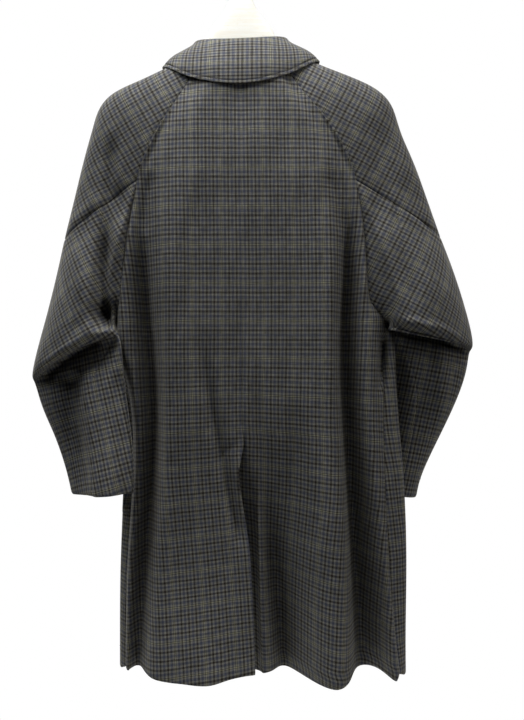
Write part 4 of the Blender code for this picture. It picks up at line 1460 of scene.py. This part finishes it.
@dataclass
class Arm:
    """One shoulder piece and the two halves of its lower sleeve.

    Attributes:
        overarm: The line over the shoulder and down the outside of the arm.
        rings: The lower sleeve's rings.
        upper_grain: Direction of the warp above the buckle, in degrees below the way out.
        lower_grain: Direction of the warp below the buckle, likewise.
        raglan_foot: The front seam's angle round the rings, from the outer side.
        tuck_place: The place among the rings where the grain changes.
        turn_width: What the cloth measures more round the arm than it shows.
        turn_columns: Half the columns that the measures change over, from back to front.
        faces_back: Y of the outward way, above which the cloth no longer faces the back.
        yoke_out, under_out, top_out: The way, out and down, to where a piece turns to the front.
    """

    side: Side
    overarm: tuple[Edge, ...]
    rings: tuple[Ring, ...]
    upper_grain: float
    lower_grain: float
    lift: float = 0.004
    raglan_foot: float = math.radians(115)
    tuck_place: float = 2.6
    turn_width: float = 0.060
    turn_columns: float = 7.0
    faces_back: float = -0.35
    yoke_out: Plan = (0.6, -0.8)
    under_out: Plan = (-1.0, 0.0)
    top_out: Plan = (1.0, 0.0)
    seam_allowance: float = 0.008
    cuff_depth: float = 0.032
    pieces: dict[str, Cloth] = field(default_factory=dict)

    def yoke_points(self, back: Array, front: Array) -> Array:
        """Points of the shoulder piece, from the back seam to the front one.

        Each half is a quadratic curve from its seam to the overarm line, whose knee stands
        under the line at the seam's own depth, a little higher than the line.

        Args:
            back: Points (row, xyz) of the back raglan seam.
            front: Points of the front one.

        Returns:
            Points (row, column, xyz).
        """
        across = np.linspace(0, 1, BICEP_COLUMNS + 1)[None, :, None]
        ridge = edge_stations(self.overarm, RAGLAN_ROWS + 1)[:, None, :]
        halves = []
        for seam in (back[:, None, :], front[:, None, :]):
            knee = np.concatenate((ridge[..., :1], seam[..., 1:2], ridge[..., 2:] - self.lift), axis=2)
            halves.append((1 - across) ** 2 * seam + 2 * across * (1 - across) * knee + across ** 2 * ridge)
        return np.concatenate((halves[0], halves[1][:, ::-1][:, 1:]), axis=1)

    def ring_angles(self, seam: float) -> Array:
        """Angles of the sleeve's columns round a ring, even between its seams.

        Args:
            seam: The back-arm seam's angle, from the outer side round by the back.

        Returns:
            An angle for each column.
        """
        foot = 2 * math.pi - self.raglan_foot
        behind = BICEP_COLUMNS - SEAM_COLUMN + ARMHOLE_ROWS
        return np.concatenate((
            np.linspace(0, seam, SEAM_COLUMN + 1),
            np.linspace(seam, math.pi, behind + 1)[1:],
            np.linspace(math.pi, foot, ARMHOLE_ROWS + 1)[1:],
            np.linspace(foot, 2 * math.pi, BICEP_COLUMNS + 1)[1:],
        ))

    @staticmethod
    def ring_points(ring: Ring, angles: Array) -> Array:
        """Points of one ring at angles from the outer side round by the back.

        The ring is half an oval to the back and half another to the front, between the
        outer and the inner point, and its middles hang lower by the square of the sine.

        Args:
            ring: The ring.
            angles: An angle for each column.

        Returns:
            Points (column, xyz), with the drop third.
        """
        outer = np.array((ring.outer_x, ring.outer_y, ring.outer_drop))
        inner = np.array((ring.inner_x, ring.inner_y, ring.inner_drop))
        across = np.cos(angles)[:, None] * (outer - inner) / 2
        swell = np.sin(angles)
        deep = np.where(swell > 0, -ring.back * swell, -ring.front * swell)
        low = np.where(swell > 0, ring.back_low, ring.front_low) * swell ** 2
        return (outer + inner) / 2 + across + np.stack((np.zeros_like(deep), deep, low), axis=1)

    def sleeve_points(self, loop: Array) -> Array:
        """Smooth lines down the whole lower sleeve, from its top loop through its rings.

        Args:
            loop: Points (column, xyz) of the top loop.

        Returns:
            Points (row, column, xyz).
        """
        turns = [self.ring_angles(math.radians(ring.seam)) for ring in self.rings]
        loops = [loop] + [self.ring_points(ring, turn) for ring, turn in zip(self.rings, turns)]
        return spline(np.array(loops), stations(RING_ROWS))

    def measures(self, points: Array, turn: float, grain: Array, way_out: Plan) -> Array:
        """Cloth measures of a piece laid out flat from its seam on the back.

        That seam keeps its place seen from the back. Each step along a row keeps its length,
        and its way seen from the back as long as the cloth faces there, then the last such
        way. In front the cloth has its place mirrored across the straight line nearest to the
        outermost points, moved out by the turn's width. Rows are turned by their grain.

        Args:
            points: Points (row, column, xyz) without creases.
            turn: The side of the grid's normals.
            grain: Direction of the warp at each row, in degrees below the way out.
            way_out: The way, out and down, to the points where the piece turns to the front.

        Returns:
            Measures (row, column, 2), across and along the warp.
        """
        place = np.stack((points[..., 0] * self.side.value, points[..., 2]), axis=2)
        plan = np.diff(place, axis=1)
        way = plan / (np.linalg.norm(plan, axis=2, keepdims=True) + TINY)
        away = outward_ways(points, turn)[:, :-1, 1] > self.faces_back
        last = np.maximum((np.cumsum(away, axis=1) == 0).sum(axis=1) - 1, 0)
        column = np.minimum(np.arange(plan.shape[1])[None, :], last[:, None])
        way = np.take_along_axis(way, column[..., None], axis=1)
        length = np.linalg.norm(np.diff(points, axis=1), axis=2)
        rolled = np.cumsum(length[..., None] * way, axis=1)
        flat = place[:, :1] + np.concatenate((np.zeros_like(rolled[:, :1]), rolled), axis=1)
        columns = np.arange(points.shape[1])
        for direction in np.unique(grain):
            rows = np.flatnonzero(grain == direction)
            farthest = (place[rows] @ np.array(way_out)).argmax(axis=1)
            outermost = place[rows, farthest]
            farthest = np.maximum(farthest, last[rows] + self.turn_columns)
            middle = outermost.mean(axis=0)
            line = np.linalg.svd(outermost - middle, full_matrices=False)[2][0]
            normal = np.array((-line[1], line[0]))
            normal = normal * np.sign(normal @ np.array(way_out))
            beyond = (place[rows] - middle) @ normal
            mirrored = place[rows] + (self.turn_width - 2 * beyond)[..., None] * normal
            past = columns[None, :] - farthest[:, None]
            share = smooth_step(past, -self.turn_columns, self.turn_columns)[..., None]
            flat[rows] = (1 - share) * flat[rows] + share * mirrored
        angle = np.radians(grain)[:, None]
        along = flat[..., 0] * np.cos(angle) + flat[..., 1] * np.sin(angle)
        across = flat[..., 0] * np.sin(angle) - flat[..., 1] * np.cos(angle)
        return np.stack((across, along), axis=2)

    def laid_size(self, points: Array) -> Plan:
        """Longest row of a sleeve piece from its upper-arm ring down, and its longest column."""
        width = run(points[RING_ROWS[0]:], 1)[:, -1].max()
        return float(width), float(run(points, 0)[-1].max())

    def build(self, back: Array, front: Array) -> None:
        """Works out the three pieces from the body's outer edges.

        Args:
            back: Points (row, xyz) of the back panel's outer edge.
            front: Points of the front panel's.
        """
        word = self.side.name.lower()
        raglan = slice(0, RAGLAN_ROWS + 1)
        armhole = slice(RAGLAN_ROWS, RAGLAN_ROWS + ARMHOLE_ROWS + 1)
        shoulder = self.yoke_points(back[raglan], front[raglan])
        cross_seam = shoulder[-1]
        loop = np.concatenate((
            cross_seam[:BICEP_COLUMNS + 1][::-1],
            back[armhole][1:],
            front[armhole][::-1][1:],
            cross_seam[BICEP_COLUMNS:][::-1][1:],
        ))
        whole = self.sleeve_points(loop)
        side = self.side.value
        seam = self.seam_allowance
        turned = {Border.FIRST_COLUMN: seam, Border.LAST_COLUMN: seam, Border.LAST_ROW: seam}
        grain = np.full(len(shoulder), self.upper_grain)
        self.add(f"yoke_{word}", shoulder, -side, turned, grain, self.yoke_out)
        grain = np.where(stations(RING_ROWS) < self.tuck_place, self.upper_grain, self.lower_grain)
        turned = {Border.FIRST_COLUMN: seam, Border.LAST_COLUMN: seam,
                  Border.FIRST_ROW: seam, Border.LAST_ROW: self.cuff_depth}
        under = whole[:, SEAM_COLUMN:whole.shape[1] - SEAM_COLUMN]
        self.add(f"under_sleeve_{word}", under, side, turned, grain, self.under_out, self.laid_size(under))
        # The outer half starts at the back-arm seam too, so it runs the other way round.
        outer = np.concatenate((whole[:, -1 - SEAM_COLUMN:-1], whole[:, :SEAM_COLUMN + 1]), axis=1)[:, ::-1]
        self.add(f"top_sleeve_{word}", outer, -side, turned, grain, self.top_out, self.laid_size(outer))

    def add(
        self, name: str, points: Array, turn: float, turned: dict[Border, float],
        grain: Array, way_out: Plan, cut: Plan | None = None,
    ) -> None:
        """Creases, measures and keeps a piece that starts at its seam on the back.

        Args:
            name: The piece's node.
            points: Points (row, column, xyz).
            turn: The side of the grid's normals.
            turned: Its turned borders.
            grain: Direction of the warp at each row.
            way_out: The way to the points where it turns to the front.
            cut: Width and length of the cut, if not its longest row and column.
        """
        piece = Cloth.from_points(name, points, turn, turned, cut=cut)
        piece.crease(CREASES)
        piece.grid[..., MEASURE] = self.measures(points, turn, grain, way_out)
        self.pieces[name] = piece


@dataclass
class Collar:
    """The turned-down collar: a stand up the neck, a fold, and a fall over the shoulders.

    Attributes:
        seam, fold, edge: The ovals at its foot, its top and the fall's edge.
        reach: How far it runs round the neck from the centre back, each way.
        edge_rows: Places of the close rows along the stitched edge, in lines before it.
        lies_off: How far the fall's edge lies off the cloth below it.
        lies_by: How much of the way there it is moved, on each face.
        faces_from: How far the cloth below has to face a way to be lain on.
        blends: Where a face's move starts and is whole, as cosines round the neck.
        nearest, evened: Points below and along the edge that a move is evened over.
        check_start: Where the check starts, down the fall and round the neck.
    """

    seam: Oval = Oval(0.071, 0.059, 0.049, 0.1770, 0.1540, 0.2340)
    fold: Oval = Oval(0.070, 0.050, 0.053, 0.1480, 0.1390, 0.2120)
    edge: Oval = Oval(0.121, 0.081, 0.106, 0.2210, 0.1760, 0.2680)
    middle: float = -0.0095
    tilt: float = 0.040
    reach: float = math.radians(174)
    bow_out: float = 0.006
    stand_lean: float = 0.001
    foot_lift: float = 0.0015
    fold_round: float = 0.0045
    columns: int = 28 * REFINE
    rows: int = 9 * REFINE
    edge_rows: tuple[float, ...] = (0.22, 0.19, 0.17, 0.155, 0.14, 0.125, 0.11, 0.09, 0.06, 0.03)
    wall: float = 0.0024
    lies_off: float = 0.0045
    lies_by: dict[Face, float] = field(default_factory=lambda: {Face.BACK: 0.85, Face.FRONT: 0.7})
    faces_from: float = 0.2
    blends: Plan = (0.1, 0.6)
    nearest: int = 8
    evened: int = 21
    stitch_inset: float = 0.005
    groove: float = 0.0008
    groove_width: float = 0.0012
    check_start: Plan = (0.002, 0.004)
    piece: Cloth | None = None

    def oval_points(self, oval: Oval, angles: Array) -> Array:
        """Points of an oval, whose drop follows the square of the cosine.

        Args:
            oval: The oval.
            angles: Angles from the centre back.

        Returns:
            Points (angle, xyz), with the drop third.
        """
        side, ahead = np.sin(angles), -np.cos(angles)
        x = oval.half_width * side
        y = np.where(ahead < 0, oval.back * ahead, oval.front * ahead)
        end_drop = np.where(ahead < 0, oval.drop_back, oval.drop_front)
        drop = oval.drop_side + (end_drop - oval.drop_side) * ahead ** 2 - self.tilt * x
        return np.stack((x + self.middle, y, drop), axis=1)

    def angles(self) -> Array:
        """Angles of the columns from the centre back."""
        return np.linspace(-self.reach, self.reach, self.columns + 1)

    def build(self) -> None:
        """Works out the collar: smooth lines up the stand, over the fold and down the fall."""
        angles = self.angles()
        seam, fold, edge = (self.oval_points(oval, angles) for oval in (self.seam, self.fold, self.edge))
        out = np.stack((np.sin(angles), -np.cos(angles), np.zeros_like(angles)), axis=1)
        down = np.array((0.0, 0.0, 1.0))
        inside = fold + self.fold_round * (down - out)
        outside = fold + self.fold_round * (out + down)
        seam = seam - self.foot_lift * (out + down)
        stand = (seam + inside) / 2 - self.stand_lean * out
        fall = (outside + edge) / 2 + self.bow_out * out
        lines = np.array((seam, stand, inside, fold, outside, fall, edge))
        last = len(lines) - 1
        places = np.union1d(np.linspace(0, last, self.rows + 1), last - np.array(self.edge_rows))
        points = spline(lines, places)
        self.piece = Cloth.from_points("collar", points, -1.0, {}, self.wall)
        # The warp runs round the neck, and the weft down the fall.
        over = run(points, 1)
        round_neck = np.abs(over - over[:, self.columns // 2][:, None])
        measures = np.stack((run(points, 0), round_neck), axis=2)
        self.piece.grid[..., MEASURE] = measures + np.array(self.check_start)

    def lay_on(self, below: Sequence[Cloth]) -> None:
        """Lays the fall's edge on the cloth below it and presses a groove under its stitches.

        The depth below a point of the edge is the mean of the nearest points seen from the
        back, weighted by the inverse square of their distance. The edge's way to that depth,
        evened along the edge, moves the fall in proportion to the distance from its fold.

        Args:
            below: The pieces that it lies on.
        """
        grid = self.piece.grid
        points = np.concatenate([piece.grid.reshape(-1, grid.shape[2]) for piece in below])
        to_edge = run(grid[::-1, :, PLACE], 0)[::-1]
        ahead = -np.cos(self.angles())
        shift = np.zeros(self.columns + 1)
        for face in Face:
            facing = points[points[:, OUTWARD_Y] * face.value > self.faces_from]
            gap = np.linalg.norm(grid[-1][:, None, [0, 2]] - facing[None, :, [0, 2]], axis=2)
            near = np.argpartition(gap, self.nearest, axis=1)[:, :self.nearest]
            weight = 1 / (np.take_along_axis(gap, near, axis=1) ** 2 + NEAREST_SQUARE)
            depth = (weight * facing[near, 1]).sum(axis=1) / weight.sum(axis=1)
            depth = depth + face.value * self.lies_off
            share = self.lies_by[face] * smooth_step(face.value * ahead, *self.blends)
            shift += share * (depth - grid[-1, :, 1])
        spread = np.exp(-np.linspace(-2, 2, self.evened) ** 2)
        padded = np.pad(shift, self.evened // 2, mode="edge")
        shift = np.convolve(padded, spread / spread.sum(), mode="valid")
        fold_row = self.rows * 2 // 3
        grid[..., 1] += shift * np.clip(1 - to_edge / to_edge[fold_row], 0, 1)
        grid[..., OUTWARD] = outward_ways(grid[..., PLACE], -1.0)
        to_edge = run(grid[::-1, :, PLACE], 0)[::-1]
        pressed = self.groove * np.exp(-((to_edge - self.stitch_inset) / self.groove_width) ** 2)
        grid[..., PLACE] -= pressed[..., None] * grid[..., OUTWARD]


class StitchLine(NamedTuple):
    """A line to sew along: points and outward ways in the frame, the cloth's wall and the pitch."""

    points: Array
    outward: Array
    wall: float
    pitch: float


@dataclass
class Stitching:
    """Rows of machine stitches, each a short spindle of thread laid on the cloth.

    Attributes:
        pitch: The usual distance from one stitch to the next.
        radius: Half the thread's thickness, drawn at twice its own so that it shows.
        sides, rings: Faces round a stitch, and rings along it.
        end_size: Size of its ends, as a share of the thread's.
        arch, sunk: How far its middle rises and its ends sink, in radii.
    """

    length: float = 0.0030
    pitch: float = 0.0046
    radius: float = 0.00042
    sides: int = 6
    rings: int = 5
    end_size: float = 0.35
    arch: float = 1.1
    sunk: float = 0.5

    def row(self, line: StitchLine) -> tuple[Array, Array]:
        """Points and faces of one row of stitches.

        Places at equal distances along the line get a spindle: rings of thread radius
        whose size follows the sine along the stitch, raised by half the wall.

        Args:
            line: The line to be sewn along.

        Returns:
            Points (point, xyz), and four point numbers for each face.
        """
        step = np.linalg.norm(np.diff(line.points, axis=0), axis=1)
        far = np.concatenate(([0.0], np.cumsum(step)))
        starts = np.arange(line.pitch, far[-1] - line.pitch, line.pitch)
        part = np.linspace(0, 1, self.rings)
        places = starts[:, None] + self.length * part[None, :]
        centre = np.stack([np.interp(places, far, line.points[:, i]) for i in range(3)], axis=-1)
        out = np.stack([np.interp(places, far, line.outward[:, i]) for i in range(3)], axis=-1)
        out /= np.linalg.norm(out, axis=-1, keepdims=True)
        along = np.gradient(centre, axis=1)
        along /= np.linalg.norm(along, axis=-1, keepdims=True)
        beside = np.cross(along, out)
        swell = self.radius * (self.end_size + (1 - self.end_size) * np.sin(math.pi * part))
        turn = np.linspace(0, 2 * math.pi, self.sides, endpoint=False)
        rise = line.wall / 2 + self.radius * (self.arch * np.sin(math.pi * part) - self.sunk)
        middle = centre + rise[None, :, None] * out
        ring = (np.cos(turn)[None, None, :, None] * beside[:, :, None, :]
                + np.sin(turn)[None, None, :, None] * out[:, :, None, :])
        points = middle[:, :, None, :] + swell[None, :, None, None] * ring
        one = np.array(grid_faces(len(part), self.sides, around=True))
        per = len(part) * self.sides
        faces = one[None] + per * np.arange(len(starts))[:, None, None]
        return points.reshape(-1, 3), faces.reshape(-1, 4)

    def sew(self, name: str, rows: Sequence[StitchLine], material: Material) -> None:
        """Makes one object of several rows of stitches and lets it ride on the coat.

        Args:
            name: The object's name.
            rows: The lines to be sewn along.
            material: The thread's finish.
        """
        points: list[Array] = []
        faces: list[Array] = []
        count = 0
        for line in rows:
            row_points, row_faces = self.row(line)
            points.append(row_points)
            faces.append(row_faces + count)
            count += len(row_points)
        piece = mesh_object(name, np.concatenate(points), np.concatenate(faces).tolist(), material)
        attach(piece, BODY)
        LOG.info("%s: %d faces", name, sum(map(len, faces)))


@dataclass
class Hanger:
    """The wooden hanger: two arms that widen towards rounded shoulders, and a neck."""

    sections: tuple[Section, ...] = table(
        Section,
        (0, 62, 160, 9), (11, 63, 161, 9), (17, 72, 163, 9), (26, 92, 167, 9), (42, 112, 178, 9.5),
        (52, 130, 187, 10), (60, 157, 194, 10.5), (72, 170, 204, 11), (120, 192, 226, 13),
        (165, 214, 243, 16), (195, 231, 254, 17.5), (202, 236, 252, 13),
    )
    round_count: int = 48
    square: float = 0.62
    steps: int = 10
    tip: float = 0.004
    tip_start: float = 0.12
    tip_steps: int = 7
    tip_end: float = 0.02

    def build(self, material: Material) -> None:
        """Lofts rounded oblong sections along the arms and closes both tips with a dome.

        A section is an oval whose cosine and sine are raised to the power `square`.

        Args:
            material: The wood's finish.
        """
        mirrored = [section._replace(x=-section.x) for section in self.sections[:0:-1]]
        whole = (*mirrored, *self.sections)
        places = np.linspace(0, len(whole) - 1, self.steps * (len(whole) - 1) + 1)
        x, top, under, half = spline_line(whole, places).T
        place, size = dome(self.tip_start, self.tip_steps, self.tip_end)
        middle, height = (top + under) / 2, (under - top) / 2
        x = np.concatenate((x[0] - self.tip * place[::-1], x, x[-1] + self.tip * place))
        middle = np.pad(middle, self.tip_steps, mode="edge")
        height = np.concatenate((height[0] * size[::-1], height, height[-1] * size))
        half = np.concatenate((half[0] * size[::-1], half, half[-1] * size))
        turn = np.linspace(0, 2 * math.pi, self.round_count, endpoint=False)
        wide = np.sign(np.cos(turn)) * np.abs(np.cos(turn)) ** self.square
        high = np.sign(np.sin(turn)) * np.abs(np.sin(turn)) ** self.square
        loops = np.stack((
            np.broadcast_to(x[:, None], (len(x), len(turn))),
            half[:, None] * wide,
            -middle[:, None] + height[:, None] * high,
        ), axis=2)
        made = closed_tube("hanger_wood", loops, material)
        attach(made, BODY)
        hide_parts("hanger")


@dataclass
class Hook:
    """The wire hook: a stem, a bend and an arc round the rail."""

    inside: float = 0.018
    wire: float = 0.0021
    stem_top: float = 0.050
    foot: float = 0.0617
    start: float = math.radians(-50)
    end: float = math.radians(208)
    arc_steps: int = 72
    bend_steps: int = 24
    sides: int = 24
    cap: float = 0.9
    cap_start: float = 0.15
    cap_steps: int = 6
    cap_end: float = 0.03

    def build(self, material: Material) -> None:
        """Carries a circle along the wire's line, and rounds its free end off.

        The line is a stem, a quadratic curve and an arc, all in the plane across the coat.

        Args:
            material: The wire's finish.
        """
        radius = self.inside + self.wire
        turn = np.linspace(self.start, self.end, self.arc_steps)
        arc = np.array((0.0, -self.inside)) + radius * np.stack((np.cos(turn), np.sin(turn)), axis=1)
        way = np.array((-math.sin(self.start), math.cos(self.start)))
        knee = np.array((0.0, arc[0, 1] - way[1] * arc[0, 0] / way[0]))
        part = np.linspace(0, 1, self.bend_steps, endpoint=False)[:, None]
        top = np.array((0.0, -self.stem_top))
        bend = (1 - part) ** 2 * top + 2 * part * (1 - part) * knee + part ** 2 * arc[0]
        foot = np.array(((0.0, -self.foot),))
        place, size = dome(self.cap_start, self.cap_steps, self.cap_end)
        past = np.array((-math.sin(self.end), math.cos(self.end)))
        line = np.concatenate((foot, bend, arc, arc[-1] + self.cap * self.wire * place[:, None] * past))
        size = np.concatenate((np.ones(len(line) - self.cap_steps), size))
        along = np.gradient(line, axis=0)
        along /= np.linalg.norm(along, axis=1, keepdims=True)
        along[0] = (0.0, 1.0)
        ring = np.linspace(0, 2 * math.pi, self.sides, endpoint=False)
        wide = self.wire * size[:, None] * np.cos(ring)
        deep = self.wire * size[:, None] * np.sin(ring)
        x, z = line[:, :1] + along[:, 1:] * wide, line[:, 1:] - along[:, :1] * wide
        loops = np.stack((x, deep, z), axis=2)
        made = closed_tube("hook_wire", loops, material)
        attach(made, BODY)
        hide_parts("hook")


@dataclass
class Coat:
    """The whole coat: body, arms, collar and stitches.

    Attributes:
        cuff_stitch: How far the cuffs' stitches lie inside the edge, and their pitch.
        hem_stitch: The same for the hem.
        front_inset: How far the front edge's stitches lie inside it.
    """

    body: Body = field(default_factory=Body)
    right: Arm = field(default_factory=lambda: Arm(
        Side.RIGHT, OVERARM_RIGHT, SLEEVE_RIGHT, upper_grain=28.0, lower_grain=101.0))
    left: Arm = field(default_factory=lambda: Arm(
        Side.LEFT, OVERARM_LEFT, SLEEVE_LEFT, upper_grain=30.0, lower_grain=105.0))
    collar: Collar = field(default_factory=Collar)
    stitching: Stitching = field(default_factory=Stitching)
    cuff_stitch: Plan = (0.030, 0.0065)
    hem_stitch: Plan = (0.034, 0.0085)
    front_inset: float = 0.006

    def cloths(self) -> list[Cloth]:
        """Every cloth piece."""
        pieces = {**self.body.panels, **self.right.pieces, **self.left.pieces}
        return [*pieces.values(), self.collar.piece]

    def sleeves(self) -> list[Cloth]:
        """The four halves of the lower sleeves."""
        return [piece for piece in self.cloths() if "sleeve" in piece.name]

    def build(self) -> None:
        """Works out every piece from the body outwards, and lays the collar on the shoulders."""
        self.body.build()
        for arm, word in ((self.right, "right"), (self.left, "left")):
            arm.build(self.body.edges[f"back_{word}"], self.body.edges[f"front_{word}"])
        self.collar.build()
        self.collar.lay_on([piece for piece in self.cloths()[:-1] if "sleeve" not in piece.name])

    @staticmethod
    def stitch_line(piece: Cloth, border: Border, inset: float, pitch: float) -> StitchLine:
        """The line to be sewn along, in the frame, at a distance inside a border of a piece."""
        points, outward = piece.line_inside(border, inset)
        return StitchLine(in_frame(points), outward * np.array((1.0, 1.0, -1.0)), piece.wall, pitch)

    def stitch_rows(self) -> dict[str, list[StitchLine]]:
        """Lines of stitches: collar edge, cuffs, hem and front edge.

        Returns:
            The lines of each object.
        """
        panels = self.body.panels
        pitch = self.stitching.pitch
        row, column = Border.LAST_ROW, Border.FIRST_COLUMN
        return {
            "collar_stitches": [self.stitch_line(self.collar.piece, row, self.collar.stitch_inset, pitch)],
            "cuff_stitches": [self.stitch_line(piece, row, *self.cuff_stitch) for piece in self.sleeves()],
            "hem_stitches": [self.stitch_line(piece, row, *self.hem_stitch) for piece in panels.values()],
            "front_stitches": [self.stitch_line(panels["front_left"], column, self.front_inset, pitch)],
        }

    def dress(self, wool: Material, thread: Material) -> None:
        """Makes the meshes with their walls, and sews the stitches on.

        Args:
            wool: The cloth's finish.
            thread: The stitches' finish.
        """
        rows = self.stitch_rows()
        for piece in self.cloths():
            piece.make(wool)
        for name, lines in rows.items():
            self.stitching.sew(name, lines, thread)


class SoftBox(NamedTuple):
    """A square soft light: its place, what it points at, its size, power and spread in degrees."""

    name: str
    place: Point
    aim: Point
    size: float
    power: float
    colour: str
    spread: float = 180.0


@dataclass
class Studio:
    """A white floor, soft lights and the camera.

    Attributes:
        floor_rim: Where the floor starts to roll down, as a share of its radius, and how far.
        backdrop: Strength of the white that the camera sees behind the coat.
        fill: Strength of the light that comes from everywhere.
    """

    floor_drop: float = 1.42
    floor_radius: float = 0.72
    floor_middle: float = 0.02
    floor_rim: Plan = (0.94, 0.02)
    floor_rings: int = 24
    floor_sides: int = 96
    camera_place: Point = (0.0325, -1.80, -0.632)
    lens: float = 58.06
    sensor: float = 36.0
    white: str = "#ffffff"
    backdrop: float = 1.0
    fill: float = 0.015
    boxes: tuple[SoftBox, ...] = (
        SoftBox("overhead box", (-0.15, -0.50, 0.95), (0.02, -0.05, -0.35), 0.8, 12.5, "#ffffff"),
        SoftBox("top box", (-0.35, -0.05, 1.20), (0.02, -0.02, -0.35), 0.8, 17.0, "#ffffff"),
        SoftBox("neck box", (-0.20, -0.65, 0.36), (-0.02, -0.05, -0.09), 0.2, 0.09, "#ffffff", 24.0),
        SoftBox("left box", (-1.31, -0.99, 0.92), (0.03, -0.05, -0.55), 0.9, 9.0, "#f6faff"),
        SoftBox("right box", (1.37, -0.99, 0.92), (0.03, -0.05, -0.55), 0.9, 5.0, "#fffdfa"),
        SoftBox("low right box", (1.89, -1.13, -0.09), (0.03, -0.05, -0.55), 0.9, 6.5, "#fffdfa"),
        SoftBox("wall box left", (-1.20, 1.05, -0.10), (0.0, 0.0, -0.55), 1.3, 16.0, "#ffffff"),
        SoftBox("wall box right", (1.20, 1.05, -0.10), (0.0, 0.0, -0.55), 1.3, 14.0, "#ffffff"),
    )

    def floor(self, material: Material) -> None:
        """A round white floor, as rings whose rim rolls down.

        Args:
            material: The floor's finish.
        """
        rim, roll = self.floor_rim
        radius = np.linspace(self.floor_middle, self.floor_radius, self.floor_rings)
        turn = np.linspace(0, 2 * math.pi, self.floor_sides, endpoint=False)
        down = roll * smooth_step(radius, rim * self.floor_radius, self.floor_radius) + self.floor_drop
        points = np.stack((
            radius[:, None] * np.cos(turn), radius[:, None] * np.sin(turn),
            np.broadcast_to(-down[:, None], (len(radius), len(turn))),
        ), axis=2)
        faces = grid_faces(len(radius), len(turn), around=True) + [list(range(len(turn)))]
        made = mesh_object("studio_floor", points.reshape(-1, 3), faces, material)
        LOG.info("studio_floor: %d faces", len(faces))

    def lights(self) -> None:
        """A white backdrop with a faint fill, and soft boxes above, at the neck, sides and wall."""
        world = bpy.data.worlds.new("white backdrop")
        bpy.context.scene.world = world
        world.use_nodes = True
        tree = world.node_tree
        white = linear(self.white)
        fill = tree.nodes["Background"]
        set_inputs(tree, fill, {"Color": white, "Strength": self.fill})
        seen = add_node(tree, "Background", None, {"Color": white, "Strength": self.backdrop})
        path = add_node(tree, "LightPath")
        both = add_node(tree, "MixShader", None, {
            0: path.outputs["Is Camera Ray"], 1: fill.outputs[0], 2: seen.outputs[0],
        })
        set_inputs(tree, tree.nodes["World Output"], {"Surface": both.outputs[0]})
        for box in self.boxes:
            light = bpy.data.lights.new(box.name, "AREA")
            light.size = box.size
            light.energy = box.power
            light.spread = math.radians(box.spread)
            light.color = linear(box.colour)[:3]
            lamp = bpy.data.objects.new(box.name, light)
            lamp.visible_camera = False
            way = Vector(box.aim) - Vector(box.place)
            lamp.location = box.place
            lamp.rotation_euler = way.to_track_quat("-Z", "Y").to_euler()
            bpy.context.scene.collection.objects.link(lamp)

    def camera(self) -> None:
        """A level camera square to the coat's back."""
        camera = bpy.data.cameras.new("camera")
        camera.lens = self.lens
        camera.sensor_width = self.sensor
        camera.sensor_fit = "AUTO"
        made = bpy.data.objects.new("camera", camera)
        made.location = self.camera_place
        made.rotation_euler = (math.radians(90), 0.0, 0.0)
        bpy.context.scene.collection.objects.link(made)
        bpy.context.scene.camera = made
        bpy.context.scene.view_settings.view_transform = "Standard"


def main() -> None:
    """Builds the studio, the hanger, the hook and the coat."""
    logging.basicConfig(level=logging.INFO, format="%(name)s %(message)s")
    studio = Studio()
    studio.camera()
    studio.lights()
    studio.floor(StudioWhite().material())
    Hanger().build(PaleWood().material())
    Hook().build(BrightSteel().material())
    coat = Coat()
    coat.build()
    coat.dress(CheckedWool().material(), SewingThread().material())


if __name__ == "__main__":
    main()
